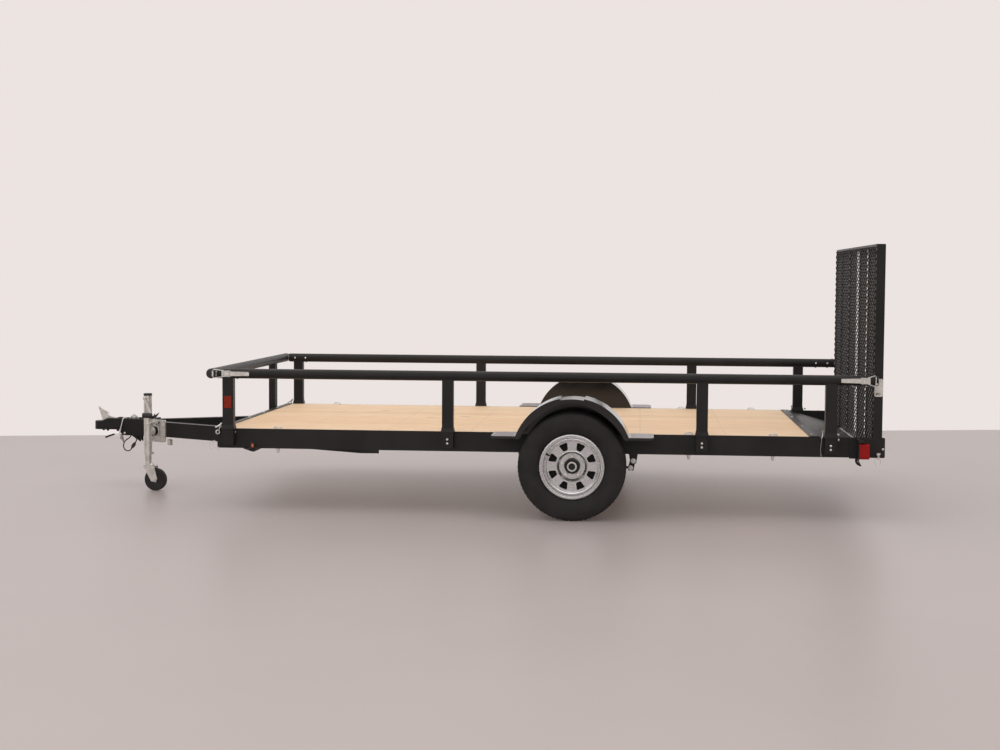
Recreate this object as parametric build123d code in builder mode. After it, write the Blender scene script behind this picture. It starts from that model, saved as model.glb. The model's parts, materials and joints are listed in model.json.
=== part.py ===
from build123d import *
import os
from math import atan2, cos, pi, radians, sin, tan

# Utility trailer, in millimetres. +X runs to the rear, +Y to the trailer's right-hand side and +Z up.
# The origin is on the ground under the middle of the whole trailer. Left-hand pieces stand at -Y and
# right-hand ones are their mirror images.

os.makedirs("parts", exist_ok=True)

# ---------------------------------------------------------------- driving dimensions

# Bed and its side rails
bed_length = 3808.0
bed_width = 1830.0
rail_bottom_z = 354.0
rail_height = 114.0
rail_wall = 5.0
rail_flange = 50.0
rail_corner_r = 8.0
flange_cutback = 92.0
touch_gap = 0.3

# Deck
plank_thickness = 38.0
plank_count = 10
plank_gap = 1.5
front_plank_gap = 1.0
trim_width = 34.0
trim_thickness = 4.0
crossmember_count = 6
crossmember_width = 40.0
crossmember_wall = 4.0

# Dovetail at the rear
strip_width = 45.0
strip_from_rear = 418.0
plank_lap = 38.0
dovetail_angle = 15.0
dovetail_end_from_rear = 82.0
dovetail_thickness = 4.0
tail_lip = 7.0

# Tongue and coupler
tongue_reach = 1050.0
leg_height = 92.0
leg_width = 50.0
leg_wall = 4.0
leg_drop = 20.0
apex_from_nose = 350.0
apex_half_width = 58.0
leg_end_from_front = 895.0
coupler_top_z = 436.0
coupler_bottom_z = 365.0
coupler_nose_r = 42.0
coupler_flange_r = 50.0
coupler_flange_thickness = 6.0
coupler_rear_half_width = 96.0
coupler_body_length = 180.0
coupler_length = 400.0
coupler_edge_r = 6.0
coupler_nose_drop = 18.0
coupler_nose_length = 50.0
coupler_nose_slope = 43.0
skirt_from_nose = 176.0
skirt_bottom_z = 329.0
gusset_from_nose = 240.0
gusset_length = 66.0
gusset_drop = 43.0
gusset_thickness = 8.0
gusset_half_gap = 28.0
socket_r = 25.7
socket_depth = 42.0
socket_from_nose = 50.0
latch_thickness = 14.0
latch_tip_from_nose = 22.0
latch_tip_rise = 72.0
latch_tip_width = 8.0
latch_waist_from_nose = 66.0
latch_waist_rise = 38.0
latch_foot_length = 90.0

# Railing
post_width = 64.0
post_depth = 43.0
post_wall = 3.0
post_lift = 20.0
collar_width = 77.0
collar_taper = 12.0
collar_height = 30.0
collar_wall = 5.0
top_rail_r = 28.5
top_rail_wall = 3.0
top_rail_z = 788.0
top_rail_start = 12.0
top_rail_end_from_rear = 52.0
front_post_from_side = 345.0
front_rail_lead = 0.0
cap_thickness = 8.0
first_post_from_front = 75.0
post_before_wheel = 718.0
post_after_wheel = 722.0
last_post_from_rear = 304.0

# Toggle latches on the railing
toggle_length = 155.0
toggle_height = 26.0
toggle_depth = 12.0
toggle_corner_r = 6.0
toggle_bail_r = 2.5
toggle_bail_length = 46.0
toggle_bail_half_gap = 13.0
front_toggle_from_front = 35.0
rear_toggle_from_rear = 99.0

# Tie-down anchors
first_anchor_from_front = 354.0
middle_anchor_before_post = 71.0
last_anchor_from_rear = 618.0
anchor_width = 50.0
anchor_depth = 22.0
anchor_height = 10.0
anchor_shank_r = 7.0
anchor_tip_below_rail = 28.0
anchor_from_web = 16.0

# Wheels, hubs and axle
wheel_from_front = 2068.0
tyre_r = 302.0
tyre_width = 175.0
tyre_centre_from_side = 165.0
tyre_bead_half_width = 57.0
tyre_bead_r = 168.0
tyre_bead_clear = 3.0
tyre_shoulder_inset = 10.0
tyre_shoulder_drop = 9.0
rim_flange_r = 181.0
rim_flange_width = 5.0
rim_wall = 6.0
rim_disc_thickness = 6.0
rim_disc_seat = 6.0
rim_dish = 20.0
rim_step_r = 148.0
hub_ring_r = 82.0
rim_bore_r = 41.0
rim_window_r = 114.0
rim_window_count = 8
rim_window_outer_width = 52.0
rim_window_inner_width = 26.0
rim_window_height = 42.0
rim_window_corner_r = 8.0
hub_flange_r = 76.0
hub_flange_thickness = 9.0
hub_barrel_r = 40.0
hub_barrel_length = 46.0
hub_cap_thickness = 6.0
hub_inner_length = 50.0
stud_circle_r = 57.15
stud_r = 6.35
stud_length = 22.0
stud_count = 5
spindle_r = 17.5
spindle_running_gap = 0.05
axle_r = 30.0
axle_end_gap = 4.0

# Leaf springs
spring_from_side = 27.0
spring_front_length = 290.0
spring_rear_length = 325.0
spring_width = 45.0
leaf_thickness = 8.0
leaf_count = 3
leaf_sink = 0.6
spring_eye_z = 277.0
spring_eye_r = 16.0
spring_bolt_r = 7.0
shackle_rise = 40.0
shackle_set = 14.0
hanger_plate = 5.0
hanger_width = 50.0
u_bolt_r = 6.0
clamp_plate_thickness = 10.0
clamp_plate_length = 110.0

# Fenders
fender_side_gap = 5.0
fender_width = 260.0
fender_r = 335.0
fender_wall = 5.0
fender_base_z = 460.0
fender_top_z = 690.0
fender_lip = 30.0
fender_shoulder_rise = 9.0
fender_recess_length = 136.0
crescent_depth = 5.0
crescent_foot_width = 20.0
crescent_mid_width = 40.0
crescent_end_width = 30.0
pad_length = 133.0
pad_thickness = 14.0
pad_rise = 12.0
pad_chamfer = 28.0
bracket_width = 40.0
bracket_thickness = 6.0
bracket_inset = 40.0

# Ramp gate
gate_hinge_from_rear = 40.0
gate_hinge_z = 376.0
gate_top_z = 1549.0
gate_tube_depth = 50.0
gate_tube_width = 38.0
gate_side_gap = 6.0
gate_top_height = 26.0
gate_foot_below_hinge = 18.0
gate_bottom_height = 40.0
gate_pin_r = 8.0
gate_pin_reach = 26.0
gate_bar_y = (225.0, 590.0)
gate_bar_width = 26.0
gate_mesh_thickness = 4.0
mesh_side_margin = 8.0
mesh_end_margin = 13.0
mesh_pitch_y = 156.0
mesh_pitch_z = 72.0
mesh_strand = 8.0
catch_length = 46.0
catch_height = 100.0
catch_z = 747.0
catch_thickness = 4.0
catch_corner_r = 8.0

# Lights and reflectors
marker_from_front = 210.0
marker_width = 16.0
marker_height = 24.0
marker_depth = 10.0
marker_above_rail_foot = 17.0
guard_reach = 50.0
guard_low_from_marker = 15.0
guard_low_length = 12.0
guard_rise = 0.0
guard_drop = 17.0
guard_depth = 26.0
guard_thickness = 4.0
tail_from_rear = 153.0
tail_lamp_depth = 56.0
tail_lamp_height = 86.0
tail_lamp_width = 84.0
tail_lamp_corner_r = 10.0
tail_lamp_side_gap = 8.0
tail_bracket_thickness = 5.0
tail_bracket_margin = 5.0
tail_bracket_foot = 40.0
tail_hood_length = 36.0
tail_hood_height = 17.0
reflector_width = 43.0
reflector_height = 70.0
reflector_thickness = 4.0
reflector_z = 624.0

# Tongue jack
jack_from_nose = 411.5
jack_off_leg = 76.0
jack_pivot_z = 371.0
jack_tube_r = 25.5
jack_bottom_z = 228.0
jack_top_z = 598.0
jack_cap_height = 14.0
jack_cap_r = 26.5
jack_cap_edge_r = 4.0
jack_top_wall = 6.0
jack_leg_r = 20.5
jack_leg_engaged = 300.0
jack_plate_length = 125.0
jack_plate_height = 140.0
jack_plate_thickness = 8.0
jack_plate_corner_r = 10.0
jack_plate_lead = 44.0
jack_plate_rib_height = 10.0
jack_plate_rib_width = 12.0
jack_plate_rib_from_pivot = 44.0
jack_boss_r = 28.0
jack_boss_end = 40.0
jack_pin_r = 10.0
jack_pin_length = 9.0
crank_below_top = 16.0
crank_shaft_r = 8.0
crank_arm_width = 14.0
crank_arm_thickness = 6.0
crank_off_tube = 16.0
crank_shaft_offset = 9.0
crank_shaft_sink = 12.0
crank_length = 101.0
crank_angle = 23.0
grip_r = 16.0
grip_length = 58.0
grip_overhang = 8.0
caster_r = 70.0
caster_width = 38.0
caster_trail = 50.0
caster_swivel = 6.0
caster_axle_r = 8.0
caster_hub_gap = 5.0
fork_plate = 5.0
fork_top_length = 78.0
fork_top_lead = 24.5
fork_corner_r = 6.0
fork_shoulder_back = 8.0
fork_clear_above = 14.0
fork_foot_r = 20.0
fork_bolt_end = 6.0
caster_edge_r = 7.0

# Wiring loop at the coupler
wire_r = 3.5
wire_plane_y = -40.0
plug_length = 40.0
plug_width = 20.0
plug_thickness = 12.0

# ---------------------------------------------------------------- places worked out from them

half_width = bed_width / 2
web_inner = half_width - rail_wall
tyre_centre_y = half_width + tyre_centre_from_side
spring_centre_y = half_width - spring_from_side
front_post_y = half_width - front_post_from_side
front_x = tongue_reach - (bed_length + tongue_reach) / 2
rear_x = front_x + bed_length
bed_mid_x = (front_x + rear_x) / 2
rail_top_z = rail_bottom_z + rail_height
rail_mid_z = rail_bottom_z + rail_height / 2
floor_of_rail_z = rail_bottom_z + rail_wall
plank_bottom_z = rail_top_z - plank_thickness
strip_x = rear_x - strip_from_rear
plank_front_x = front_x + rail_wall + front_plank_gap
plank_rear_x = strip_x + plank_lap
plank_span = 2 * web_inner - 2 * plank_gap
plank_pitch = (plank_span + plank_gap) / plank_count
hinge_x = rear_x - gate_hinge_from_rear
wheel_x = front_x + wheel_from_front
axle_z = tyre_r
post_y = half_width + post_depth / 2
nose_x = front_x - tongue_reach
post_xs = (
    front_x + first_post_from_front,
    wheel_x - post_before_wheel,
    wheel_x + post_after_wheel,
    rear_x - last_post_from_rear,
)
anchor_xs = (
    front_x + first_anchor_from_front,
    post_xs[2] - middle_anchor_before_post,
    rear_x - last_anchor_from_rear,
)
front_rail_x = front_x - post_depth / 2 - front_rail_lead

# The left-hand tongue leg runs from the apex, beside the coupler, to the inside of the side rail.
leg_bottom_z = rail_bottom_z - leg_drop
leg_front = Vector(nose_x + apex_from_nose, -apex_half_width, leg_bottom_z)
leg_rear = Vector(front_x + leg_end_from_front, -web_inner, leg_bottom_z)
leg_along = (leg_rear - leg_front).normalized()
leg_out = Vector(leg_along.Y, -leg_along.X, 0)
leg_angle = atan2(-leg_along.Y, leg_along.X)

# The jack's pivot is on the leg's outer face, and its tube stands off that face.
jack_set_back = (jack_off_leg + leg_width / 2) * sin(leg_angle)
jack_along = (nose_x + jack_from_nose + jack_set_back - leg_front.X) / leg_along.X
leg_face_point = leg_front + leg_along * jack_along + leg_out * (leg_width / 2)
jack_pivot = Vector(leg_face_point.X, leg_face_point.Y, jack_pivot_z)
jack_axis = jack_pivot + leg_out * jack_off_leg
print("jack pivot", tuple(jack_pivot), "direction", tuple(leg_out))
print("jack tube axis", tuple(jack_axis), "hinge", hinge_x, gate_hinge_z, "wheel", wheel_x, axle_z)

# ---------------------------------------------------------------- side rails

with BuildPart() as leg_envelope:
    with BuildSketch(Plane.XY.offset(leg_bottom_z)):
        with BuildLine():
            inner_front = leg_front - leg_out * (leg_width / 2)
            outer_front = leg_front + leg_out * (leg_width / 2)
            inner_run = (-web_inner - inner_front.Y) / leg_along.Y
            outer_run = (-web_inner - outer_front.Y) / leg_along.Y
            inner_rear = inner_front + leg_along * inner_run
            outer_rear = outer_front + leg_along * outer_run
            Polyline(
                (inner_front.X, inner_front.Y),
                (inner_rear.X, inner_rear.Y),
                (outer_rear.X, outer_rear.Y),
                (outer_front.X, outer_front.Y),
                close=True,
            )
        make_face()
    extrude(amount=leg_height)
    mirror(about=Plane.XZ)

with BuildPart() as side_rail_left:
    with BuildSketch(Plane.XZ.offset(half_width)):
        with Locations((bed_mid_x, rail_mid_z)):
            RectangleRounded(bed_length, rail_height, rail_corner_r)
        with Locations((hinge_x, gate_hinge_z)):
            Circle(gate_pin_r, mode=Mode.SUBTRACT)
    extrude(amount=-rail_wall)
    flange_length = bed_length - rail_corner_r - flange_cutback
    with BuildSketch(Plane.XY.offset(rail_bottom_z)):
        with Locations((front_x + rail_corner_r + flange_length / 2, -web_inner + rail_flange / 2)):
            Rectangle(flange_length, rail_flange)
        for anchor_x in anchor_xs:
            with Locations((anchor_x, -web_inner + anchor_from_web)):
                Circle(anchor_shank_r + touch_gap, mode=Mode.SUBTRACT)
    extrude(amount=rail_wall)
    add(leg_envelope.part, mode=Mode.SUBTRACT)
side_rail_left.part.label = "side_rail_left"
export_step(side_rail_left.part, "parts/side_rail_left.step")

with BuildPart() as side_rail_right:
    mirror(side_rail_left.part, about=Plane.XZ)
side_rail_right.part.label = "side_rail_right"
export_step(side_rail_right.part, "parts/side_rail_right.step")

# ---------------------------------------------------------------- cross members

# The front member is a plate across the bed with a ledge that carries the planks' front ends.
with BuildPart() as front_crossmember:
    with BuildSketch(Plane.YZ.offset(front_x)):
        with Locations((0, rail_mid_z)):
            Rectangle(2 * web_inner, rail_height)
    extrude(amount=rail_wall)
    with BuildSketch(Plane.YZ.offset(front_x + rail_wall)):
        with Locations((0, plank_bottom_z - crossmember_wall / 2)):
            Rectangle(2 * web_inner, crossmember_wall)
    extrude(amount=crossmember_width)
    add(leg_envelope.part, mode=Mode.SUBTRACT)
front_crossmember.part.label = "front_crossmember"
export_step(front_crossmember.part, "parts/front_crossmember.step")

member_bay = (strip_x - front_x) / (crossmember_count + 1)
member_height = plank_bottom_z - floor_of_rail_z
with BuildPart() as crossmembers:
    for index in range(crossmember_count):
        member_x = front_x + member_bay * (index + 1)
        with BuildSketch(Plane.XZ.offset(-web_inner)):
            with Locations((member_x, floor_of_rail_z + member_height / 2)):
                Rectangle(crossmember_width, member_height)
            with Locations((member_x + crossmember_wall, floor_of_rail_z + member_height / 2)):
                Rectangle(
                    crossmember_width, member_height - 2 * crossmember_wall, mode=Mode.SUBTRACT
                )
        extrude(amount=2 * web_inner)
    add(leg_envelope.part, mode=Mode.SUBTRACT)
crossmembers.part.label = "crossmembers"
export_step(crossmembers.part, "parts/crossmembers.step")

# The rear member carries the planks' rear ends, and the tail member the dovetail's lower edge.
dovetail_start_x = strip_x + strip_width
dovetail_end_x = rear_x - dovetail_end_from_rear
dovetail_run = dovetail_end_x - dovetail_start_x
dovetail_drop = dovetail_run * tan(radians(dovetail_angle))
dovetail_end_z = rail_top_z - dovetail_drop
with BuildPart() as rear_crossmembers:
    with BuildSketch(Plane.XZ.offset(-web_inner)):
        with Locations((strip_x + crossmember_width / 2, floor_of_rail_z + member_height / 2)):
            Rectangle(crossmember_width, member_height)
        with Locations((strip_x + crossmember_width / 2 - crossmember_wall,
                        floor_of_rail_z + member_height / 2)):
            Rectangle(crossmember_width, member_height - 2 * crossmember_wall, mode=Mode.SUBTRACT)
        with BuildLine():
            tail_front_x = dovetail_end_x - crossmember_width
            tail_front_z = dovetail_end_z + crossmember_width * tan(radians(dovetail_angle))
            Polyline(
                (tail_front_x, floor_of_rail_z),
                (dovetail_end_x + tail_lip, floor_of_rail_z),
                (dovetail_end_x + tail_lip, dovetail_end_z),
                (dovetail_end_x, dovetail_end_z),
                (tail_front_x, tail_front_z),
                close=True,
            )
        make_face()
    extrude(amount=2 * web_inner)
rear_crossmembers.part.label = "rear_crossmembers"
export_step(rear_crossmembers.part, "parts/rear_crossmembers.step")

# ---------------------------------------------------------------- tongue

with BuildPart() as tongue_legs:
    add(leg_envelope.part)
    with BuildSketch(Plane.XY.offset(leg_bottom_z + leg_wall)):
        with BuildLine():
            bore_inner_front = leg_front - leg_out * (leg_width / 2 - leg_wall) + leg_along * leg_wall
            bore_outer_front = leg_front + leg_out * (leg_width / 2 - leg_wall) + leg_along * leg_wall
            bore_end_y = -web_inner + leg_wall
            bore_inner_rear = bore_inner_front + leg_along * (
                (bore_end_y - bore_inner_front.Y) / leg_along.Y)
            bore_outer_rear = bore_outer_front + leg_along * (
                (bore_end_y - bore_outer_front.Y) / leg_along.Y)
            Polyline(
                (bore_inner_front.X, bore_inner_front.Y),
                (bore_inner_rear.X, bore_inner_rear.Y),
                (bore_outer_rear.X, bore_outer_rear.Y),
                (bore_outer_front.X, bore_outer_front.Y),
                close=True,
            )
        make_face()
        mirror(about=Plane.XZ)
    extrude(amount=leg_height - 2 * leg_wall, mode=Mode.SUBTRACT)
tongue_legs.part.label = "tongue_legs"
export_step(tongue_legs.part, "parts/tongue_legs.step")

# The coupler's pressed body is low over the nose and narrow over the ball socket. It widens back over the
# legs' front ends, with a deeper skirt on each side and two gussets below.
coupler_rear_x = nose_x + coupler_length
body_rear_x = nose_x + coupler_body_length
nose_top_z = coupler_top_z - coupler_nose_drop
with BuildPart() as coupler:
    with BuildSketch(Plane.XY.offset(coupler_bottom_z)):
        with BuildLine():
            Polyline(
                (nose_x + coupler_nose_r, -coupler_nose_r),
                (body_rear_x, -coupler_nose_r),
                (coupler_rear_x, -coupler_rear_half_width),
                (coupler_rear_x, coupler_rear_half_width),
                (body_rear_x, coupler_nose_r),
                (nose_x + coupler_nose_r, coupler_nose_r),
            )
            ThreePointArc(
                (nose_x + coupler_nose_r, coupler_nose_r),
                (nose_x, 0),
                (nose_x + coupler_nose_r, -coupler_nose_r),
            )
        make_face()
    extrude(amount=coupler_top_z - coupler_bottom_z)
    with BuildSketch(Plane.XZ.offset(-2 * coupler_nose_r)):
        with BuildLine():
            Polyline(
                (nose_x - coupler_nose_r, nose_top_z),
                (nose_x + coupler_nose_length, nose_top_z),
                (nose_x + coupler_nose_length + coupler_nose_slope, coupler_top_z),
                (nose_x + coupler_nose_length + coupler_nose_slope, 2 * coupler_top_z),
                (nose_x - coupler_nose_r, 2 * coupler_top_z),
                close=True,
            )
        make_face()
    extrude(amount=4 * coupler_nose_r, mode=Mode.SUBTRACT)
    upper_faces = coupler.faces().filter_by(lambda face: face.normal_at().Z > 0.5)
    fillet([edge for face in upper_faces for edge in face.edges()
            if abs(edge.tangent_at(0.5).Y) < 0.9 or edge.geom_type == GeomType.ELLIPSE],
           radius=coupler_edge_r)
    # flange around the mouth of the socket
    with BuildSketch(Plane.XY.offset(coupler_bottom_z)):
        with Locations((nose_x + coupler_flange_r, 0)):
            Circle(coupler_flange_r)
        with Locations((nose_x + coupler_flange_r + coupler_body_length / 2, 0)):
            Rectangle(coupler_body_length, 2 * coupler_flange_r)
    extrude(amount=coupler_flange_thickness)
    # deeper skirt where the body laps the legs
    with BuildSketch(Plane.XY.offset(skirt_bottom_z)):
        with BuildLine():
            Polyline(
                (nose_x + skirt_from_nose, -coupler_nose_r),
                (body_rear_x, -coupler_nose_r),
                (coupler_rear_x, -coupler_rear_half_width),
                (coupler_rear_x, coupler_rear_half_width),
                (body_rear_x, coupler_nose_r),
                (nose_x + skirt_from_nose, coupler_nose_r),
                close=True,
            )
        make_face()
    extrude(amount=coupler_bottom_z - skirt_bottom_z)
    for gusset_y in (-gusset_half_gap, gusset_half_gap - gusset_thickness):
        with BuildSketch(Plane.XZ.offset(-gusset_y)):
            with BuildLine():
                Polyline(
                    (nose_x + gusset_from_nose, skirt_bottom_z),
                    (nose_x + gusset_from_nose + gusset_length, skirt_bottom_z - gusset_drop),
                    (nose_x + gusset_from_nose + gusset_length, skirt_bottom_z),
                    close=True,
                )
            make_face()
        extrude(amount=-gusset_thickness)
    with BuildSketch(Plane.XY.offset(coupler_bottom_z)):
        with Locations((nose_x + socket_from_nose, 0)):
            Circle(socket_r)
    extrude(amount=socket_depth, mode=Mode.SUBTRACT)
    add(leg_envelope.part, mode=Mode.SUBTRACT)
coupler.part.label = "coupler"
export_step(coupler.part, "parts/coupler.step")

# Latch lever: a tapered blade that leans forward over the coupler's nose.
latch_foot_x = nose_x + coupler_nose_length
with BuildPart() as coupler_latch:
    with BuildSketch(Plane.XZ.offset(latch_thickness / 2)):
        with BuildLine():
            tip_x = nose_x + latch_tip_from_nose
            tip_z = coupler_top_z + latch_tip_rise
            Polyline(
                (latch_foot_x, nose_top_z),
                (nose_x + coupler_nose_length + coupler_nose_slope, coupler_top_z),
                (latch_foot_x + latch_foot_length, coupler_top_z),
                (latch_foot_x + coupler_nose_slope, coupler_top_z + latch_waist_rise / 3),
                (nose_x + latch_waist_from_nose, coupler_top_z + latch_waist_rise),
                (tip_x + latch_tip_width, tip_z - latch_tip_width / 4),
                (tip_x, tip_z),
                close=True,
            )
        make_face()
    extrude(amount=-latch_thickness)
coupler_latch.part.label = "coupler_latch"
export_step(coupler_latch.part, "parts/coupler_latch.step")

# ---------------------------------------------------------------- wiring loop

# The lamp cable hangs from the coupler's skirt in one loop, with its flat plug on it, and goes back in.
# Its route is given as (distance behind the nose, height above the ground).
wire_to_plug = (
    (250.0, skirt_bottom_z + wire_r), (238.0, 312.0), (214.0, 299.0), (196.5, 277.0), (196.0, 251.0),
    (207.0, 233.0), (225.0, 226.0), (241.0, 232.0), (251.0, 247.0),
)
plug_turn = atan2(wire_to_plug[-1][1] - wire_to_plug[-2][1], wire_to_plug[-1][0] - wire_to_plug[-2][0])
plug_end = (
    wire_to_plug[-1][0] + plug_length * cos(plug_turn),
    wire_to_plug[-1][1] + plug_length * sin(plug_turn),
)
wire_from_plug = (
    plug_end,
    (plug_end[0] + 8.0, plug_end[1] + 8.0 * tan(plug_turn)),
    (plug_end[0] + 11.0, plug_end[1] + 33.0),
    (plug_end[0] + 11.5, skirt_bottom_z + wire_r),
)


def bend_radii(route):
    """Arc radius at each corner of a route, as large as the two runs beside it allow."""
    radii = []
    for before, corner, after in zip(route, route[1:], route[2:]):
        run_in = Vector(corner[0] - before[0], corner[1] - before[1])
        run_out = Vector(after[0] - corner[0], after[1] - corner[1])
        half_turn = radians(run_in.get_angle(run_out)) / 2
        radii.append(0.45 * min(run_in.length, run_out.length) / tan(half_turn))
    return radii


wire_length = 0.0
with BuildPart() as wiring_cable:
    for route in (wire_to_plug, wire_from_plug):
        with BuildLine(Plane.XZ.offset(-wire_plane_y)) as wire_line:
            FilletPolyline(*[(nose_x + reach, height) for reach, height in route], radius=bend_radii(route))
        wire_run = wire_line.wire()
        with BuildSketch(Plane(origin=wire_run @ 0, z_dir=wire_run % 0)):
            Circle(wire_r)
        sweep(path=wire_run)
        wire_length += wire_run.length
        print("wire run", round(wire_run.length, 1), "radii", [round(radius, 1) for radius in bend_radii(route)])
    add(coupler.part, mode=Mode.SUBTRACT)
print("wire volume", round(wiring_cable.part.volume), "section times length", round(pi * wire_r ** 2 * wire_length))
wiring_cable.part.label = "wiring_cable"
export_step(wiring_cable.part, "parts/wiring_cable.step")

plug_start = (nose_x + wire_to_plug[-1][0], wire_plane_y, wire_to_plug[-1][1])
with BuildPart() as wiring_plug:
    with BuildSketch(Plane(origin=plug_start, x_dir=(0, 1, 0), z_dir=(cos(plug_turn), 0, sin(plug_turn)))):
        RectangleRounded(plug_thickness, plug_width, plug_thickness / 3)
    extrude(amount=plug_length)
wiring_plug.part.label = "wiring_plug"
export_step(wiring_plug.part, "parts/wiring_plug.step")

# ---------------------------------------------------------------- deck

with BuildPart() as deck_planks:
    plank_length = plank_rear_x - plank_front_x
    for index in range(plank_count):
        plank_y = -web_inner + plank_gap + plank_pitch * index + (plank_pitch - plank_gap) / 2
        with BuildSketch(Plane.XY.offset(plank_bottom_z)):
            with Locations((plank_front_x + plank_length / 2, plank_y)):
                Rectangle(plank_length, plank_pitch - plank_gap)
        extrude(amount=plank_thickness)
    with BuildSketch(Plane.XY.offset(plank_bottom_z)):
        for anchor_x in anchor_xs:
            with Locations((anchor_x, -web_inner + anchor_from_web),
                           (anchor_x, web_inner - anchor_from_web)):
                Circle(anchor_shank_r + touch_gap)
    extrude(amount=plank_thickness, mode=Mode.SUBTRACT)
deck_planks.part.label = "deck_planks"
export_step(deck_planks.part, "parts/deck_planks.step")

with BuildPart() as front_trim:
    with BuildSketch(Plane.XY.offset(rail_top_z)):
        with Locations((front_x + trim_width / 2, 0)):
            Rectangle(trim_width, 2 * web_inner)
    extrude(amount=trim_thickness)
front_trim.part.label = "front_trim"
export_step(front_trim.part, "parts/front_trim.step")

# One bent sheet: a strip that laps the planks' rear ends, and the slope of the dovetail.
with BuildPart() as dovetail_plate:
    with BuildSketch(Plane.XZ.offset(-web_inner)):
        with BuildLine():
            Polyline(
                (strip_x, rail_top_z),
                (dovetail_start_x, rail_top_z),
                (dovetail_end_x, dovetail_end_z),
                (dovetail_end_x, dovetail_end_z + dovetail_thickness),
                (dovetail_start_x, rail_top_z + dovetail_thickness),
                (strip_x, rail_top_z + dovetail_thickness),
                close=True,
            )
        make_face()
    extrude(amount=2 * web_inner)
dovetail_plate.part.label = "dovetail_plate"
export_step(dovetail_plate.part, "parts/dovetail_plate.step")

# ---------------------------------------------------------------- tie-down anchors

with BuildPart() as tie_down_anchors:
    for anchor_x in anchor_xs:
        with BuildSketch(Plane.XY.offset(rail_top_z)):
            with Locations((anchor_x, -web_inner + anchor_from_web)):
                RectangleRounded(anchor_width, anchor_depth, anchor_depth / 3)
        extrude(amount=anchor_height)
        with BuildSketch(Plane.XY.offset(rail_top_z)):
            with Locations((anchor_x, -web_inner + anchor_from_web)):
                Circle(anchor_shank_r)
        extrude(amount=-(rail_height + anchor_tip_below_rail))
    mirror(about=Plane.XZ)
tie_down_anchors.part.label = "tie_down_anchors"
export_step(tie_down_anchors.part, "parts/tie_down_anchors.step")

# ---------------------------------------------------------------- railing

post_bottom_z = rail_bottom_z + post_lift
with BuildPart() as side_posts_left:
    for post_x in post_xs:
        with BuildSketch(Plane.XY.offset(post_bottom_z)):
            with Locations((post_x, -post_y)):
                Rectangle(post_width, post_depth)
        extrude(amount=top_rail_z - post_bottom_z)
        with BuildSketch(Plane.XY.offset(rail_top_z)):
            with Locations((post_x, -post_y)):
                Rectangle(collar_width, post_depth + 2 * collar_wall)
        extrude(amount=collar_height, taper=collar_taper)
        with BuildSketch(Plane.XY.offset(post_bottom_z)):
            with Locations((post_x, -post_y)):
                Rectangle(post_width - 2 * post_wall, post_depth - 2 * post_wall)
        extrude(amount=top_rail_z - post_bottom_z, mode=Mode.SUBTRACT)
    with BuildSketch(Plane.YZ.offset(front_x)):
        with Locations((-post_y, top_rail_z)):
            Circle(top_rail_r)
    extrude(amount=bed_length, mode=Mode.SUBTRACT)
    with BuildSketch(Plane.XY.offset(top_rail_z)):
        with Locations((bed_mid_x, -post_y)):
            Rectangle(bed_length, 3 * post_depth)
    extrude(amount=top_rail_r, mode=Mode.SUBTRACT)
side_posts_left.part.label = "side_posts_left"
export_step(side_posts_left.part, "parts/side_posts_left.step")

with BuildPart() as side_posts_right:
    mirror(side_posts_left.part, about=Plane.XZ)
side_posts_right.part.label = "side_posts_right"
export_step(side_posts_right.part, "parts/side_posts_right.step")

top_rail_x0 = front_x + top_rail_start
top_rail_x1 = rear_x - top_rail_end_from_rear
with BuildPart() as top_rail_left:
    with BuildSketch(Plane.YZ.offset(top_rail_x0)):
        with Locations((-post_y, top_rail_z)):
            Circle(top_rail_r)
            Circle(top_rail_r - top_rail_wall, mode=Mode.SUBTRACT)
    extrude(amount=top_rail_x1 - top_rail_x0)
    for cap_x in (top_rail_x0, top_rail_x1 - cap_thickness):
        with BuildSketch(Plane.YZ.offset(cap_x)):
            with Locations((-post_y, top_rail_z)):
                Circle(top_rail_r)
        extrude(amount=cap_thickness)
top_rail_left.part.label = "top_rail_left"
export_step(top_rail_left.part, "parts/top_rail_left.step")

with BuildPart() as top_rail_right:
    mirror(top_rail_left.part, about=Plane.XZ)
top_rail_right.part.label = "top_rail_right"
export_step(top_rail_right.part, "parts/top_rail_right.step")

front_rail_half = post_y + top_rail_r
with BuildPart() as front_rail:
    with BuildSketch(Plane.XZ.offset(-front_rail_half)):
        with Locations((front_rail_x, top_rail_z)):
            Circle(top_rail_r)
            Circle(top_rail_r - top_rail_wall, mode=Mode.SUBTRACT)
    extrude(amount=2 * front_rail_half)
    for cap_y in (-front_rail_half, front_rail_half - cap_thickness):
        with BuildSketch(Plane.XZ.offset(-cap_y)):
            with Locations((front_rail_x, top_rail_z)):
                Circle(top_rail_r)
        extrude(amount=-cap_thickness)
front_rail.part.label = "front_rail"
export_step(front_rail.part, "parts/front_rail.step")

with BuildPart() as front_posts:
    with BuildSketch(Plane.XY.offset(post_bottom_z)):
        with Locations((front_x - post_depth / 2, -front_post_y), (front_x - post_depth / 2, front_post_y)):
            Rectangle(post_depth, post_width)
            Rectangle(post_depth - 2 * post_wall, post_width - 2 * post_wall, mode=Mode.SUBTRACT)
    extrude(amount=top_rail_z - post_bottom_z)
    with BuildSketch(Plane.XZ.offset(-front_rail_half)):
        with Locations((front_rail_x, top_rail_z)):
            Circle(top_rail_r)
        with Locations((front_rail_x, top_rail_z + top_rail_r)):
            Rectangle(3 * post_depth, 2 * top_rail_r)
    extrude(amount=2 * front_rail_half, mode=Mode.SUBTRACT)
    add(leg_envelope.part, mode=Mode.SUBTRACT)
front_posts.part.label = "front_posts"
export_step(front_posts.part, "parts/front_posts.step")

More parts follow.
